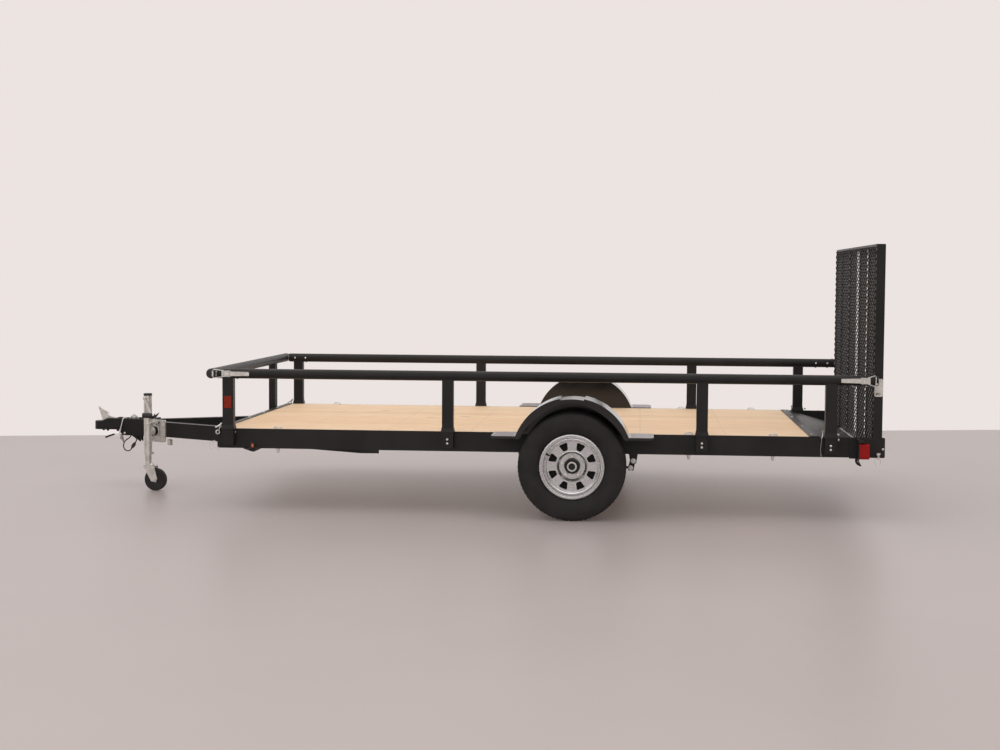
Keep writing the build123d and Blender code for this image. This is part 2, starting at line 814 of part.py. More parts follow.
# Over-centre latches lie along the outer side of the top rails at the four corners.
toggle_y = post_y + top_rail_r
front_toggle_x = front_x + front_toggle_from_front
rear_toggle_x = rear_x - rear_toggle_from_rear
with BuildPart() as railing_latches:
    for lever_x, bail_x, post_side in (
        (front_toggle_x + toggle_length / 2, front_toggle_x - toggle_bail_length / 2, -1),
        (rear_toggle_x - toggle_length / 2, rear_toggle_x + toggle_bail_length / 2, 1),
    ):
        with BuildSketch(Plane.XZ.offset(toggle_y)):
            with Locations((lever_x, top_rail_z)):
                RectangleRounded(toggle_length, toggle_height, toggle_corner_r)
        extrude(amount=toggle_depth)
        with BuildSketch(Plane.YZ.offset(bail_x - toggle_bail_length / 2)):
            with Locations((-toggle_y - toggle_depth / 2, top_rail_z - toggle_bail_half_gap + toggle_bail_r),
                           (-toggle_y - toggle_depth / 2, top_rail_z + toggle_bail_half_gap - toggle_bail_r)):
                Circle(toggle_bail_r)
        extrude(amount=toggle_bail_length)
        with BuildSketch(Plane.XY.offset(top_rail_z - toggle_bail_half_gap)):
            with Locations((bail_x + post_side * (toggle_bail_length / 2 - toggle_bail_r),
                            -toggle_y - toggle_depth / 2)):
                Circle(toggle_bail_r)
        extrude(amount=2 * toggle_bail_half_gap)
    mirror(about=Plane.XZ)
railing_latches.part.label = "railing_latches"
export_step(railing_latches.part, "parts/railing_latches.step")

# ---------------------------------------------------------------- axle and springs

spring_top_z = axle_z - axle_r
axle_half = tyre_centre_y - hub_inner_length - axle_end_gap
with BuildPart() as axle_beam:
    with BuildSketch(Plane.XZ.offset(-axle_half)):
        with Locations((wheel_x, axle_z)):
            Circle(axle_r)
    extrude(amount=2 * axle_half)
    spindle_half = tyre_centre_y + hub_barrel_length - hub_cap_thickness - axle_end_gap
    with BuildSketch(Plane.XZ.offset(-spindle_half)):
        with Locations((wheel_x, axle_z)):
            Circle(spindle_r)
    extrude(amount=2 * spindle_half)
axle_beam.part.label = "axle_beam"
export_step(axle_beam.part, "parts/axle_beam.step")

# Each leaf is an arc below the last; the main leaf carries the eyes.
spring_camber = spring_eye_z - leaf_thickness / 2 - (spring_top_z - leaf_thickness)
front_eye_x = wheel_x - spring_front_length
front_eye_z = spring_eye_z - spring_camber * (1 - (spring_front_length / spring_rear_length) ** 2)
rear_eye_x = wheel_x + spring_rear_length
with BuildPart() as leaf_springs:
    for leaf in range(leaf_count):
        leaf_share = 1 - leaf / leaf_count
        low_z = spring_top_z - leaf_thickness * (leaf + 1)
        leaf_rise = leaf_thickness + (leaf_sink if leaf else 0)
        front_reach, rear_reach = spring_front_length * leaf_share, spring_rear_length * leaf_share
        front_z = low_z + spring_camber * (front_reach / spring_rear_length) ** 2
        rear_z = low_z + spring_camber * leaf_share ** 2
        with BuildSketch(Plane.XZ.offset(spring_centre_y - spring_width / 2)):
            with BuildLine():
                ThreePointArc(
                    (wheel_x - front_reach, front_z), (wheel_x, low_z), (wheel_x + rear_reach, rear_z)
                )
                Line((wheel_x + rear_reach, rear_z), (wheel_x + rear_reach, rear_z + leaf_rise))
                ThreePointArc(
                    (wheel_x + rear_reach, rear_z + leaf_rise),
                    (wheel_x, low_z + leaf_rise),
                    (wheel_x - front_reach, front_z + leaf_rise),
                )
                Line((wheel_x - front_reach, front_z + leaf_rise), (wheel_x - front_reach, front_z))
            make_face()
        extrude(amount=spring_width)
    with BuildSketch(Plane.XZ.offset(spring_centre_y - spring_width / 2)):
        with Locations((front_eye_x, front_eye_z), (rear_eye_x, spring_eye_z)):
            Circle(spring_eye_r)
    extrude(amount=spring_width)
    with BuildSketch(Plane.XZ.offset(spring_centre_y - spring_width / 2)):
        with Locations((front_eye_x, front_eye_z), (rear_eye_x, spring_eye_z)):
            Circle(spring_bolt_r + touch_gap)
    extrude(amount=spring_width, mode=Mode.SUBTRACT)
    mirror(about=Plane.XZ)
leaf_springs.part.label = "leaf_springs"
export_step(leaf_springs.part, "parts/leaf_springs.step")

# Front hanger, rear hanger and shackle of each spring, with their bolts.
shackle_x = rear_eye_x + shackle_set
shackle_z = spring_eye_z + shackle_rise
plate_inner = spring_centre_y - spring_width / 2 - touch_gap
plate_outer = spring_centre_y + spring_width / 2 + touch_gap
with BuildPart() as spring_hangers:
    for inner_y in (plate_inner, plate_outer + hanger_plate):
        with BuildSketch(Plane.XZ.offset(inner_y - hanger_plate)):
            with BuildLine():
                Polyline(
                    (front_eye_x - hanger_width / 2, rail_bottom_z),
                    (front_eye_x + hanger_width / 2, rail_bottom_z),
                    (front_eye_x + spring_eye_r, front_eye_z - spring_eye_r),
                    (front_eye_x - spring_eye_r, front_eye_z - spring_eye_r),
                    close=True,
                )
            make_face()
        extrude(amount=hanger_plate)
        with BuildSketch(Plane.XZ.offset(inner_y - hanger_plate)):
            with BuildLine():
                Polyline(
                    (shackle_x - hanger_width / 2, rail_bottom_z),
                    (shackle_x + hanger_width / 2, rail_bottom_z),
                    (shackle_x + spring_eye_r, shackle_z - spring_eye_r),
                    (shackle_x - spring_eye_r, shackle_z - spring_eye_r),
                    close=True,
                )
            make_face()
        extrude(amount=hanger_plate)
    for outer_y in (plate_inner - hanger_plate - touch_gap, plate_outer + 2 * hanger_plate + touch_gap):
        with BuildSketch(Plane.XZ.offset(outer_y - hanger_plate)):
            with BuildLine():
                Polyline(
                    (rear_eye_x - spring_eye_r, spring_eye_z - spring_eye_r),
                    (rear_eye_x + spring_eye_r, spring_eye_z - spring_eye_r),
                    (shackle_x + spring_eye_r, shackle_z + spring_eye_r),
                    (shackle_x - spring_eye_r, shackle_z + spring_eye_r),
                    close=True,
                )
            make_face()
        extrude(amount=hanger_plate)
    bolt_inner_y = plate_inner - 3 * hanger_plate
    bolt_span = plate_outer - plate_inner + 6 * hanger_plate
    with BuildSketch(Plane.XZ.offset(bolt_inner_y)):
        with Locations((front_eye_x, front_eye_z), (rear_eye_x, spring_eye_z), (shackle_x, shackle_z)):
            Circle(spring_bolt_r)
    extrude(amount=bolt_span)
    mirror(about=Plane.XZ)
spring_hangers.part.label = "spring_hangers"
export_step(spring_hangers.part, "parts/spring_hangers.step")

# U-bolts over the axle hold a plate under each spring.
spring_bottom_z = spring_top_z - leaf_thickness * leaf_count
u_bolt_offset = axle_r + u_bolt_r + touch_gap
with BuildPart() as axle_clamps:
    with BuildSketch(Plane.XY.offset(spring_bottom_z)):
        with Locations((wheel_x, -spring_centre_y)):
            Rectangle(clamp_plate_length, spring_width + 6 * u_bolt_r)
    extrude(amount=-clamp_plate_thickness)
    for bolt_y in (spring_centre_y - spring_width / 2 - u_bolt_r - touch_gap,
                   spring_centre_y + spring_width / 2 + u_bolt_r + touch_gap):
        with BuildSketch(Plane.XZ.offset(bolt_y - u_bolt_r)):
            with BuildLine():
                ThreePointArc(
                    (wheel_x - u_bolt_offset - u_bolt_r, axle_z),
                    (wheel_x, axle_z + u_bolt_offset + u_bolt_r),
                    (wheel_x + u_bolt_offset + u_bolt_r, axle_z),
                )
                Polyline(
                    (wheel_x + u_bolt_offset + u_bolt_r, axle_z),
                    (wheel_x + u_bolt_offset + u_bolt_r, spring_bottom_z - clamp_plate_thickness),
                    (wheel_x + u_bolt_offset - u_bolt_r, spring_bottom_z - clamp_plate_thickness),
                    (wheel_x + u_bolt_offset - u_bolt_r, axle_z),
                )
                ThreePointArc(
                    (wheel_x + u_bolt_offset - u_bolt_r, axle_z),
                    (wheel_x, axle_z + u_bolt_offset - u_bolt_r),
                    (wheel_x - u_bolt_offset + u_bolt_r, axle_z),
                )
                Polyline(
                    (wheel_x - u_bolt_offset + u_bolt_r, axle_z),
                    (wheel_x - u_bolt_offset + u_bolt_r, spring_bottom_z - clamp_plate_thickness),
                    (wheel_x - u_bolt_offset - u_bolt_r, spring_bottom_z - clamp_plate_thickness),
                    (wheel_x - u_bolt_offset - u_bolt_r, axle_z),
                )
            make_face()
        extrude(amount=2 * u_bolt_r)
    mirror(about=Plane.XZ)
axle_clamps.part.label = "axle_clamps"
export_step(axle_clamps.part, "parts/axle_clamps.step")

# ---------------------------------------------------------------- wheels

wheel_plane = Plane(origin=(wheel_x, -tyre_centre_y, axle_z), x_dir=(0, -1, 0), z_dir=(-1, 0, 0))
wheel_axis = Axis((wheel_x, -tyre_centre_y, axle_z), (0, 1, 0))
tyre_half = tyre_width / 2
shoulder_half = tyre_half - tyre_shoulder_inset
bead_top_r = rim_flange_r + tyre_bead_clear
with BuildPart() as tyre_left:
    with BuildSketch(wheel_plane):
        with BuildLine():
            Polyline(
                (-tyre_bead_half_width, bead_top_r),
                (-tyre_bead_half_width, tyre_bead_r),
                (tyre_bead_half_width, tyre_bead_r),
                (tyre_bead_half_width, bead_top_r),
            )
            ThreePointArc(
                (tyre_bead_half_width, bead_top_r),
                (tyre_half, (bead_top_r + tyre_r) / 2),
                (shoulder_half, tyre_r - tyre_shoulder_drop),
            )
            Polyline(
                (shoulder_half, tyre_r - tyre_shoulder_drop),
                (shoulder_half - tyre_shoulder_drop, tyre_r),
                (-shoulder_half + tyre_shoulder_drop, tyre_r),
                (-shoulder_half, tyre_r - tyre_shoulder_drop),
            )
            ThreePointArc(
                (-shoulder_half, tyre_r - tyre_shoulder_drop),
                (-tyre_half, (bead_top_r + tyre_r) / 2),
                (-tyre_bead_half_width, bead_top_r),
            )
        make_face()
    revolve(axis=wheel_axis)
tyre_left.part.label = "tyre_left"
export_step(tyre_left.part, "parts/tyre_left.step")

barrel_r = tyre_bead_r - touch_gap
flange_in = tyre_bead_half_width + touch_gap
flange_out = flange_in + rim_flange_width
disc_face = rim_disc_seat + rim_disc_thickness
disc_edge_r = barrel_r - rim_wall + 1
with BuildPart() as rim_left:
    with BuildSketch(wheel_plane):
        with BuildLine():
            Polyline(
                (-flange_out, rim_flange_r),
                (-flange_in, rim_flange_r),
                (-flange_in, barrel_r),
                (flange_in, barrel_r),
                (flange_in, rim_flange_r),
                (flange_out, rim_flange_r),
                (flange_out, barrel_r - rim_wall),
                (-flange_out, barrel_r - rim_wall),
                close=True,
            )
        make_face()
        with BuildLine():
            Polyline(
                (rim_disc_seat, rim_bore_r),
                (rim_disc_seat, hub_ring_r - 6),
                (rim_disc_seat + rim_dish, hub_ring_r + 8),
                (rim_disc_seat + rim_dish, rim_step_r),
                (rim_disc_seat + rim_dish / 2, disc_edge_r),
                (rim_disc_seat + rim_dish / 2 + rim_disc_thickness, disc_edge_r),
                (disc_face + rim_dish, rim_step_r),
                (disc_face + rim_dish, hub_ring_r + 4),
                (disc_face, hub_ring_r - 10),
                (disc_face, rim_bore_r),
                close=True,
            )
        make_face()
    revolve(axis=wheel_axis)
    with BuildSketch(Plane.XZ.offset(tyre_centre_y)) as rim_windows:
        with Locations((wheel_x, axle_z)):
            with PolarLocations(rim_window_r, rim_window_count, start_angle=180 / rim_window_count):
                Polygon(
                    (-rim_window_height / 2, -rim_window_inner_width / 2),
                    (rim_window_height / 2, -rim_window_outer_width / 2),
                    (rim_window_height / 2, rim_window_outer_width / 2),
                    (-rim_window_height / 2, rim_window_inner_width / 2),
                    align=None,
                )
        fillet(rim_windows.vertices(), radius=rim_window_corner_r)
    extrude(amount=2 * (disc_face + rim_dish), mode=Mode.SUBTRACT)
    with BuildSketch(Plane.XZ.offset(tyre_centre_y)):
        with Locations((wheel_x, axle_z)):
            with PolarLocations(stud_circle_r, stud_count, start_angle=90):
                Circle(stud_r + touch_gap)
    extrude(amount=disc_face + rim_dish, mode=Mode.SUBTRACT)
rim_left.part.label = "rim_left"
export_step(rim_left.part, "parts/rim_left.step")

with BuildPart() as hub_left:
    with BuildSketch(wheel_plane):
        with BuildLine():
            Polyline(
                (-hub_inner_length, spindle_r + spindle_running_gap),
                (-hub_inner_length, hub_barrel_r),
                (rim_disc_seat - hub_flange_thickness, hub_barrel_r),
                (rim_disc_seat - hub_flange_thickness, hub_flange_r),
                (rim_disc_seat, hub_flange_r),
                (rim_disc_seat, hub_barrel_r),
                (hub_barrel_length, hub_barrel_r),
                (hub_barrel_length, 0),
                (hub_barrel_length - hub_cap_thickness, 0),
                (hub_barrel_length - hub_cap_thickness, spindle_r + spindle_running_gap),
                close=True,
            )
        make_face()
    revolve(axis=wheel_axis)
    with BuildSketch(Plane.XZ.offset(tyre_centre_y + rim_disc_seat)):
        with Locations((wheel_x, axle_z)):
            with PolarLocations(stud_circle_r, stud_count, start_angle=90):
                Circle(stud_r)
    extrude(amount=stud_length)
hub_left.part.label = "hub_left"
export_step(hub_left.part, "parts/hub_left.step")

for piece, piece_name in ((tyre_left, "tyre_right"), (rim_left, "rim_right"), (hub_left, "hub_right")):
    with BuildPart() as right_piece:
        mirror(piece.part, about=Plane.XZ)
    right_piece.part.label = piece_name
    export_step(right_piece.part, f"parts/{piece_name}.step")

# ---------------------------------------------------------------- fenders

# Each arch has raised shoulders fore and aft of a shallow recess over its top, and a raised crescent on
# its outer face along each shoulder.
fender_inner_y = half_width + fender_side_gap
fender_outer_y = fender_inner_y + fender_width
fender_face_y = fender_outer_y - crescent_depth
fender_centre_z = fender_top_z - fender_r
fender_low_r = fender_r - fender_shoulder_rise
fender_half_base = (fender_r ** 2 - (fender_base_z - fender_centre_z) ** 2) ** 0.5
recess_half = fender_recess_length / 2
foot_angle = atan2(fender_base_z - fender_centre_z, fender_half_base)
pad_top_z = fender_base_z + pad_rise
pad_low_z = pad_top_z - pad_thickness
end_angle = atan2(fender_r, recess_half)
with BuildPart() as fender_left:
    with BuildSketch(Plane.XZ.offset(fender_inner_y)):
        with Locations((wheel_x, fender_centre_z)):
            Circle(fender_r)
            Circle(fender_low_r - fender_wall, mode=Mode.SUBTRACT)
        with Locations((wheel_x, fender_base_z + fender_r)):
            Rectangle(3 * fender_r, 2 * fender_r, mode=Mode.INTERSECT)
        with BuildSketch(mode=Mode.SUBTRACT):
            with Locations((wheel_x, fender_centre_z)):
                Circle(2 * fender_r)
                Circle(fender_low_r, mode=Mode.SUBTRACT)
            with Locations((wheel_x, fender_top_z)):
                Rectangle(fender_recess_length, fender_r, mode=Mode.INTERSECT)
    extrude(amount=fender_face_y - fender_inner_y)
    # inner skirt against the side rail, and the lip around the outer edge
    for skirt_y, lip in ((fender_inner_y, fender_r), (fender_face_y - fender_wall, fender_lip)):
        with BuildSketch(Plane.XZ.offset(skirt_y)):
            with Locations((wheel_x, fender_centre_z)):
                Circle(fender_low_r)
                if lip < fender_r:
                    Circle(fender_r - lip, mode=Mode.SUBTRACT)
            with Locations((wheel_x, fender_base_z + fender_r)):
                Rectangle(3 * fender_r, 2 * fender_r, mode=Mode.INTERSECT)
        extrude(amount=fender_wall)
    for side in (-1, 1):
        with BuildSketch(Plane.XZ.offset(fender_face_y)):
            with BuildLine():
                corners = []
                for radius, turn in (
                    (fender_r, foot_angle),
                    (fender_r, (foot_angle + end_angle) / 2),
                    (fender_r, end_angle),
                    (fender_r - crescent_end_width, end_angle),
                    (fender_r - crescent_mid_width, (foot_angle + end_angle) / 2),
                    (fender_r - crescent_foot_width, foot_angle),
                ):
                    corners.append((wheel_x + side * radius * cos(turn), fender_centre_z + radius * sin(turn)))
                ThreePointArc(corners[0], corners[1], corners[2])
                Line(corners[2], corners[3])
                ThreePointArc(corners[3], corners[4], corners[5])
                Line(corners[5], corners[0])
            make_face()
        extrude(amount=crescent_depth)
    # step pads fore and aft, with their outer corners cut off
    for side in (-1, 1):
        pad_root_x = wheel_x + side * (fender_half_base - fender_wall)
        pad_end_x = wheel_x + side * (fender_half_base + pad_length)
        with BuildSketch(Plane.XY.offset(pad_top_z)):
            with BuildLine():
                Polyline(
                    (pad_root_x, -fender_inner_y),
                    (pad_end_x, -fender_inner_y),
                    (pad_end_x, -fender_face_y + pad_chamfer),
                    (pad_end_x - side * pad_chamfer, -fender_face_y),
                    (pad_root_x, -fender_face_y),
                    close=True,
                )
            make_face()
        extrude(amount=-pad_thickness)
fender_left.part.label = "fender_left"
export_step(fender_left.part, "parts/fender_left.step")

with BuildPart() as fender_right:
    mirror(fender_left.part, about=Plane.XZ)
fender_right.part.label = "fender_right"
export_step(fender_right.part, "parts/fender_right.step")

bracket_length = fender_outer_y - half_width - bracket_inset
with BuildPart() as fender_brackets:
    for side in (-1, 1):
        bracket_x = wheel_x + side * (fender_half_base + pad_length / 2)
        with BuildSketch(Plane.XY.offset(pad_low_z)):
            with Locations((bracket_x, -half_width - bracket_length / 2)):
                Rectangle(bracket_width, bracket_length)
        extrude(amount=-bracket_thickness)
        with BuildSketch(Plane.XZ.offset(half_width)):
            with Locations((bracket_x, pad_low_z - bracket_width / 2)):
                Rectangle(bracket_width, bracket_width)
        extrude(amount=bracket_thickness)
    mirror(about=Plane.XZ)
fender_brackets.part.label = "fender_brackets"
export_step(fender_brackets.part, "parts/fender_brackets.step")

# ---------------------------------------------------------------- lights

marker_x = front_x + marker_from_front
marker_z = rail_bottom_z + marker_above_rail_foot
with BuildPart() as marker_lights:
    with BuildSketch(Plane.XZ.offset(half_width)):
        with Locations((marker_x, marker_z)):
            RectangleRounded(marker_width, marker_height, marker_width / 3)
    extrude(amount=marker_depth)
    mirror(about=Plane.XZ)
marker_lights.part.label = "marker_lights"
export_step(marker_lights.part, "parts/marker_lights.step")

# A bent strip under each marker lamp slopes down to a low point behind it and back up to the rail.
guard_high_z = rail_bottom_z + guard_rise
guard_low_z = rail_bottom_z - guard_drop
guard_low_x = marker_x + guard_low_from_marker
with BuildPart() as marker_guards:
    with BuildSketch(Plane.XZ.offset(half_width)):
        with BuildLine():
            Polyline(
                (marker_x - guard_reach, guard_high_z),
                (guard_low_x - guard_low_length, guard_low_z),
                (guard_low_x, guard_low_z),
                (marker_x + guard_reach, guard_high_z),
                (marker_x + guard_reach, guard_high_z + guard_thickness),
                (guard_low_x, guard_low_z + guard_thickness),
                (guard_low_x - guard_low_length, guard_low_z + guard_thickness),
                (marker_x - guard_reach, guard_high_z + guard_thickness),
                close=True,
            )
        make_face()
    extrude(amount=guard_depth)
    mirror(about=Plane.XZ)
marker_guards.part.label = "marker_guards"
export_step(marker_guards.part, "parts/marker_guards.step")

# Each tail lamp stands on a bracket with a foot on the side rail and a hood over the lamp.
tail_x = rear_x - tail_from_rear
tail_z = rail_bottom_z + tail_lamp_height / 2
tail_back_x = tail_x - tail_bracket_thickness
tail_width = tail_lamp_side_gap + tail_lamp_width + tail_bracket_margin
tail_height = tail_lamp_height + 2 * tail_bracket_margin
tail_top_z = tail_z + tail_height / 2
with BuildPart() as tail_brackets:
    with BuildSketch(Plane.YZ.offset(tail_back_x)):
        with Locations((-half_width - tail_width / 2, tail_z)):
            Rectangle(tail_width, tail_height)
    extrude(amount=tail_bracket_thickness)
    with BuildSketch(Plane.XZ.offset(half_width)):
        with Locations((tail_back_x - tail_bracket_foot / 2, tail_z)):
            Rectangle(tail_bracket_foot, tail_height)
    extrude(amount=tail_bracket_thickness)
    with BuildSketch(Plane.XZ.offset(half_width)):
        with BuildLine():
            Polyline(
                (tail_back_x, tail_top_z),
                (tail_x + tail_hood_length, tail_top_z),
                (tail_x + tail_hood_length, tail_top_z + tail_bracket_thickness),
                (tail_x, tail_top_z + tail_hood_height),
                (tail_back_x, tail_top_z + tail_hood_height),
                close=True,
            )
        make_face()
    extrude(amount=tail_width)
    mirror(about=Plane.XZ)
tail_brackets.part.label = "tail_brackets"
export_step(tail_brackets.part, "parts/tail_brackets.step")

with BuildPart() as tail_lights:
    with BuildSketch(Plane.YZ.offset(tail_x)):
        with Locations((-half_width - tail_lamp_side_gap - tail_lamp_width / 2, tail_z)):
            RectangleRounded(tail_lamp_width, tail_lamp_height, tail_lamp_corner_r)
    extrude(amount=tail_lamp_depth)
    mirror(about=Plane.XZ)
tail_lights.part.label = "tail_lights"
export_step(tail_lights.part, "parts/tail_lights.step")

with BuildPart() as reflectors:
    with BuildSketch(Plane.XZ.offset(half_width + post_depth)):
        with Locations((post_xs[0], reflector_z)):
            Rectangle(reflector_width, reflector_height)
    extrude(amount=reflector_thickness)
    mirror(about=Plane.XZ)
reflectors.part.label = "reflectors"
export_step(reflectors.part, "parts/reflectors.step")

# ---------------------------------------------------------------- ramp gate

gate_half = web_inner - gate_side_gap
gate_bottom_z = gate_hinge_z - gate_foot_below_hinge
gate_tube_mid_y = gate_half - gate_tube_width / 2
gate_clear_half = gate_half - gate_tube_width
with BuildPart() as gate_frame:
    with BuildSketch(Plane.XY.offset(gate_bottom_z)):
        with Locations((hinge_x, -gate_tube_mid_y)):
            Rectangle(gate_tube_depth, gate_tube_width)
    extrude(amount=gate_top_z - gate_bottom_z)
    mirror(about=Plane.XZ)
    with BuildSketch(Plane.XZ.offset(-gate_clear_half)):
        with Locations((hinge_x, gate_top_z - gate_top_height / 2)):
            Rectangle(gate_tube_depth, gate_top_height)
        with Locations((hinge_x, gate_bottom_z + gate_bottom_height / 2)):
            Rectangle(gate_tube_depth, gate_bottom_height)
    extrude(amount=2 * gate_clear_half)
    with BuildSketch(Plane.XY.offset(gate_bottom_z + gate_bottom_height)):
        for bar_y in gate_bar_y:
            with Locations((hinge_x, -bar_y), (hinge_x, bar_y)):
                Rectangle(gate_tube_depth, gate_bar_width)
    extrude(amount=gate_top_z - gate_top_height - gate_bottom_z - gate_bottom_height)
    with BuildSketch(Plane.XZ.offset(-gate_half)):
        with Locations((hinge_x, gate_hinge_z)):
            Circle(gate_pin_r + spindle_running_gap)
    extrude(amount=gate_tube_width, mode=Mode.SUBTRACT)
    with BuildSketch(Plane.XZ.offset(gate_half)):
        with Locations((hinge_x, gate_hinge_z)):
            Circle(gate_pin_r + spindle_running_gap)
    extrude(amount=-gate_tube_width, mode=Mode.SUBTRACT)
gate_frame.part.label = "gate_frame"
export_step(gate_frame.part, "parts/gate_frame.step")

# The mesh lies on the gate's forward face, which is the upper one when the gate is down as a ramp.
mesh_bottom_z = gate_bottom_z + mesh_end_margin
mesh_top_z = gate_top_z - mesh_end_margin
mesh_half = gate_half - mesh_side_margin
mesh_mid_z = (mesh_bottom_z + mesh_top_z) / 2
mesh_height = mesh_top_z - mesh_bottom_z
mesh_face_x = hinge_x - gate_tube_depth / 2
mesh_columns = int((2 * mesh_half - 2 * mesh_strand) / mesh_pitch_y)
mesh_rows = int((mesh_height - 2 * mesh_strand) / mesh_pitch_z)
with BuildPart() as gate_mesh:
    with BuildSketch(Plane.YZ.offset(mesh_face_x)):
        with Locations((0, mesh_mid_z)):
            Rectangle(2 * mesh_half, mesh_height)
            hole_half_y = mesh_pitch_y / 2 - mesh_strand
            hole_half_z = mesh_pitch_z / 2 - mesh_strand / 2
            for columns, rows in ((mesh_columns, mesh_rows), (mesh_columns - 1, mesh_rows - 1)):
                with GridLocations(mesh_pitch_y, mesh_pitch_z, columns, rows):
                    Polygon(
                        (-hole_half_y, 0), (0, -hole_half_z), (hole_half_y, 0), (0, hole_half_z),
                        mode=Mode.SUBTRACT,
                    )
    extrude(amount=-gate_mesh_thickness)
gate_mesh.part.label = "gate_mesh"
export_step(gate_mesh.part, "parts/gate_mesh.step")

with BuildPart() as gate_catches:
    with BuildSketch(Plane.XZ.offset(gate_half)):
        with Locations((hinge_x, catch_z)):
            RectangleRounded(catch_length, catch_height, catch_corner_r)
    extrude(amount=catch_thickness)
    mirror(about=Plane.XZ)
gate_catches.part.label = "gate_catches"
export_step(gate_catches.part, "parts/gate_catches.step")

with BuildPart() as gate_hinge_pins:
    with BuildSketch(Plane.XZ.offset(gate_half - gate_tube_width)):
        with Locations((hinge_x, gate_hinge_z)):
            Circle(gate_pin_r)
    extrude(amount=gate_tube_width + gate_side_gap + rail_wall + gate_pin_reach)
    mirror(about=Plane.XZ)
gate_hinge_pins.part.label = "gate_hinge_pins"
export_step(gate_hinge_pins.part, "parts/gate_hinge_pins.step")

# ---------------------------------------------------------------- tongue jack

leg_plane = Plane(origin=jack_pivot, x_dir=leg_along, z_dir=leg_out)
with BuildPart() as jack_bracket:
    with BuildSketch(leg_plane):
        with Locations((jack_plate_length / 2 - jack_plate_lead, 0)):
            RectangleRounded(jack_plate_length, jack_plate_height, jack_plate_corner_r)
    extrude(amount=jack_plate_thickness)
    with BuildSketch(leg_plane.offset(jack_plate_thickness)):
        with Locations((jack_plate_rib_from_pivot, 0)):
            Rectangle(jack_plate_rib_width, jack_plate_height)
    extrude(amount=jack_plate_rib_height)
    with BuildSketch(leg_plane.offset(jack_plate_thickness)):
        Circle(jack_boss_r)
    extrude(amount=jack_boss_end - jack_plate_thickness)
    with BuildSketch(leg_plane.offset(jack_boss_end)):
        Circle(jack_pin_r)
    extrude(amount=jack_pin_length)
jack_bracket.part.label = "jack_bracket"
export_step(jack_bracket.part, "parts/jack_bracket.step")

jack_top = (jack_axis.X, jack_axis.Y)
with BuildPart() as jack_tube:
    with BuildSketch(Plane.XY.offset(jack_bottom_z)):
        with Locations(jack_top):
            Circle(jack_tube_r)
    extrude(amount=jack_top_z - jack_bottom_z)
    with BuildSketch(leg_plane.offset(jack_boss_end + touch_gap)):
        Circle(jack_boss_r)
    extrude(amount=jack_off_leg - jack_boss_end - touch_gap)
    with BuildSketch(leg_plane.offset(jack_boss_end)):
        Circle(jack_pin_r + spindle_running_gap)
    extrude(amount=jack_pin_length + touch_gap, mode=Mode.SUBTRACT)
    with BuildSketch(Plane.XY.offset(jack_bottom_z)):
        with Locations(jack_top):
            Circle(jack_leg_r + touch_gap)
    extrude(amount=jack_top_z - jack_bottom_z - jack_top_wall, mode=Mode.SUBTRACT)
jack_tube.part.label = "jack_tube"
export_step(jack_tube.part, "parts/jack_tube.step")

with BuildPart() as jack_cap:
    with BuildSketch(Plane.XY.offset(jack_top_z)):
        with Locations(jack_top):
            Circle(jack_cap_r)
    extrude(amount=jack_cap_height)
    fillet(jack_cap.faces().sort_by(Axis.Z)[-1].edges(), radius=jack_cap_edge_r)
jack_cap.part.label = "jack_cap"
export_step(jack_cap.part, "parts/jack_cap.step")

crank_face_y = jack_axis.Y - jack_tube_r - crank_off_tube
crank_z = jack_top_z - crank_below_top
crank_x = jack_axis.X - crank_shaft_offset
crank_end_x = crank_x + crank_length * sin(radians(crank_angle))
crank_end_z = crank_z - crank_length * cos(radians(crank_angle))
with BuildPart() as jack_crank:
    with BuildSketch(Plane.XZ.offset(-jack_axis.Y + crank_shaft_sink)):
        with Locations((crank_x, crank_z)):
            Circle(crank_shaft_r)
    extrude(amount=jack_tube_r - crank_shaft_sink + crank_off_tube)
    with BuildSketch(Plane.XZ.offset(-crank_face_y)):
        with BuildLine():
            Line((crank_x, crank_z), (crank_end_x, crank_end_z))
        make_hull(trace(line_width=crank_arm_width).edges())
    extrude(amount=crank_arm_thickness)
    with BuildSketch(Plane.XY.offset(jack_bottom_z)):
        with Locations(jack_top):
            Circle(jack_tube_r)
    extrude(amount=jack_top_z - jack_bottom_z, mode=Mode.SUBTRACT)
jack_crank.part.label = "jack_crank"
export_step(jack_crank.part, "parts/jack_crank.step")

with BuildPart() as crank_grip:
    with BuildSketch(Plane.YZ.offset(crank_end_x - grip_length + grip_overhang)):
        with Locations((crank_face_y - crank_arm_thickness / 2, crank_end_z - crank_arm_width)):
            Circle(grip_r)
    extrude(amount=grip_length)
    add(jack_crank.part, mode=Mode.SUBTRACT)
crank_grip.part.label = "crank_grip"
export_step(crank_grip.part, "parts/crank_grip.step")

fork_top_z = 2 * caster_r + fork_clear_above
with BuildPart() as jack_leg:
    with BuildSketch(Plane.XY.offset(fork_top_z + fork_plate + touch_gap)):
        with Locations(jack_top):
            Circle(jack_leg_r)
    extrude(amount=jack_bottom_z - fork_top_z - fork_plate - touch_gap + jack_leg_engaged)
jack_leg.part.label = "jack_leg"
export_step(jack_leg.part, "parts/jack_leg.step")

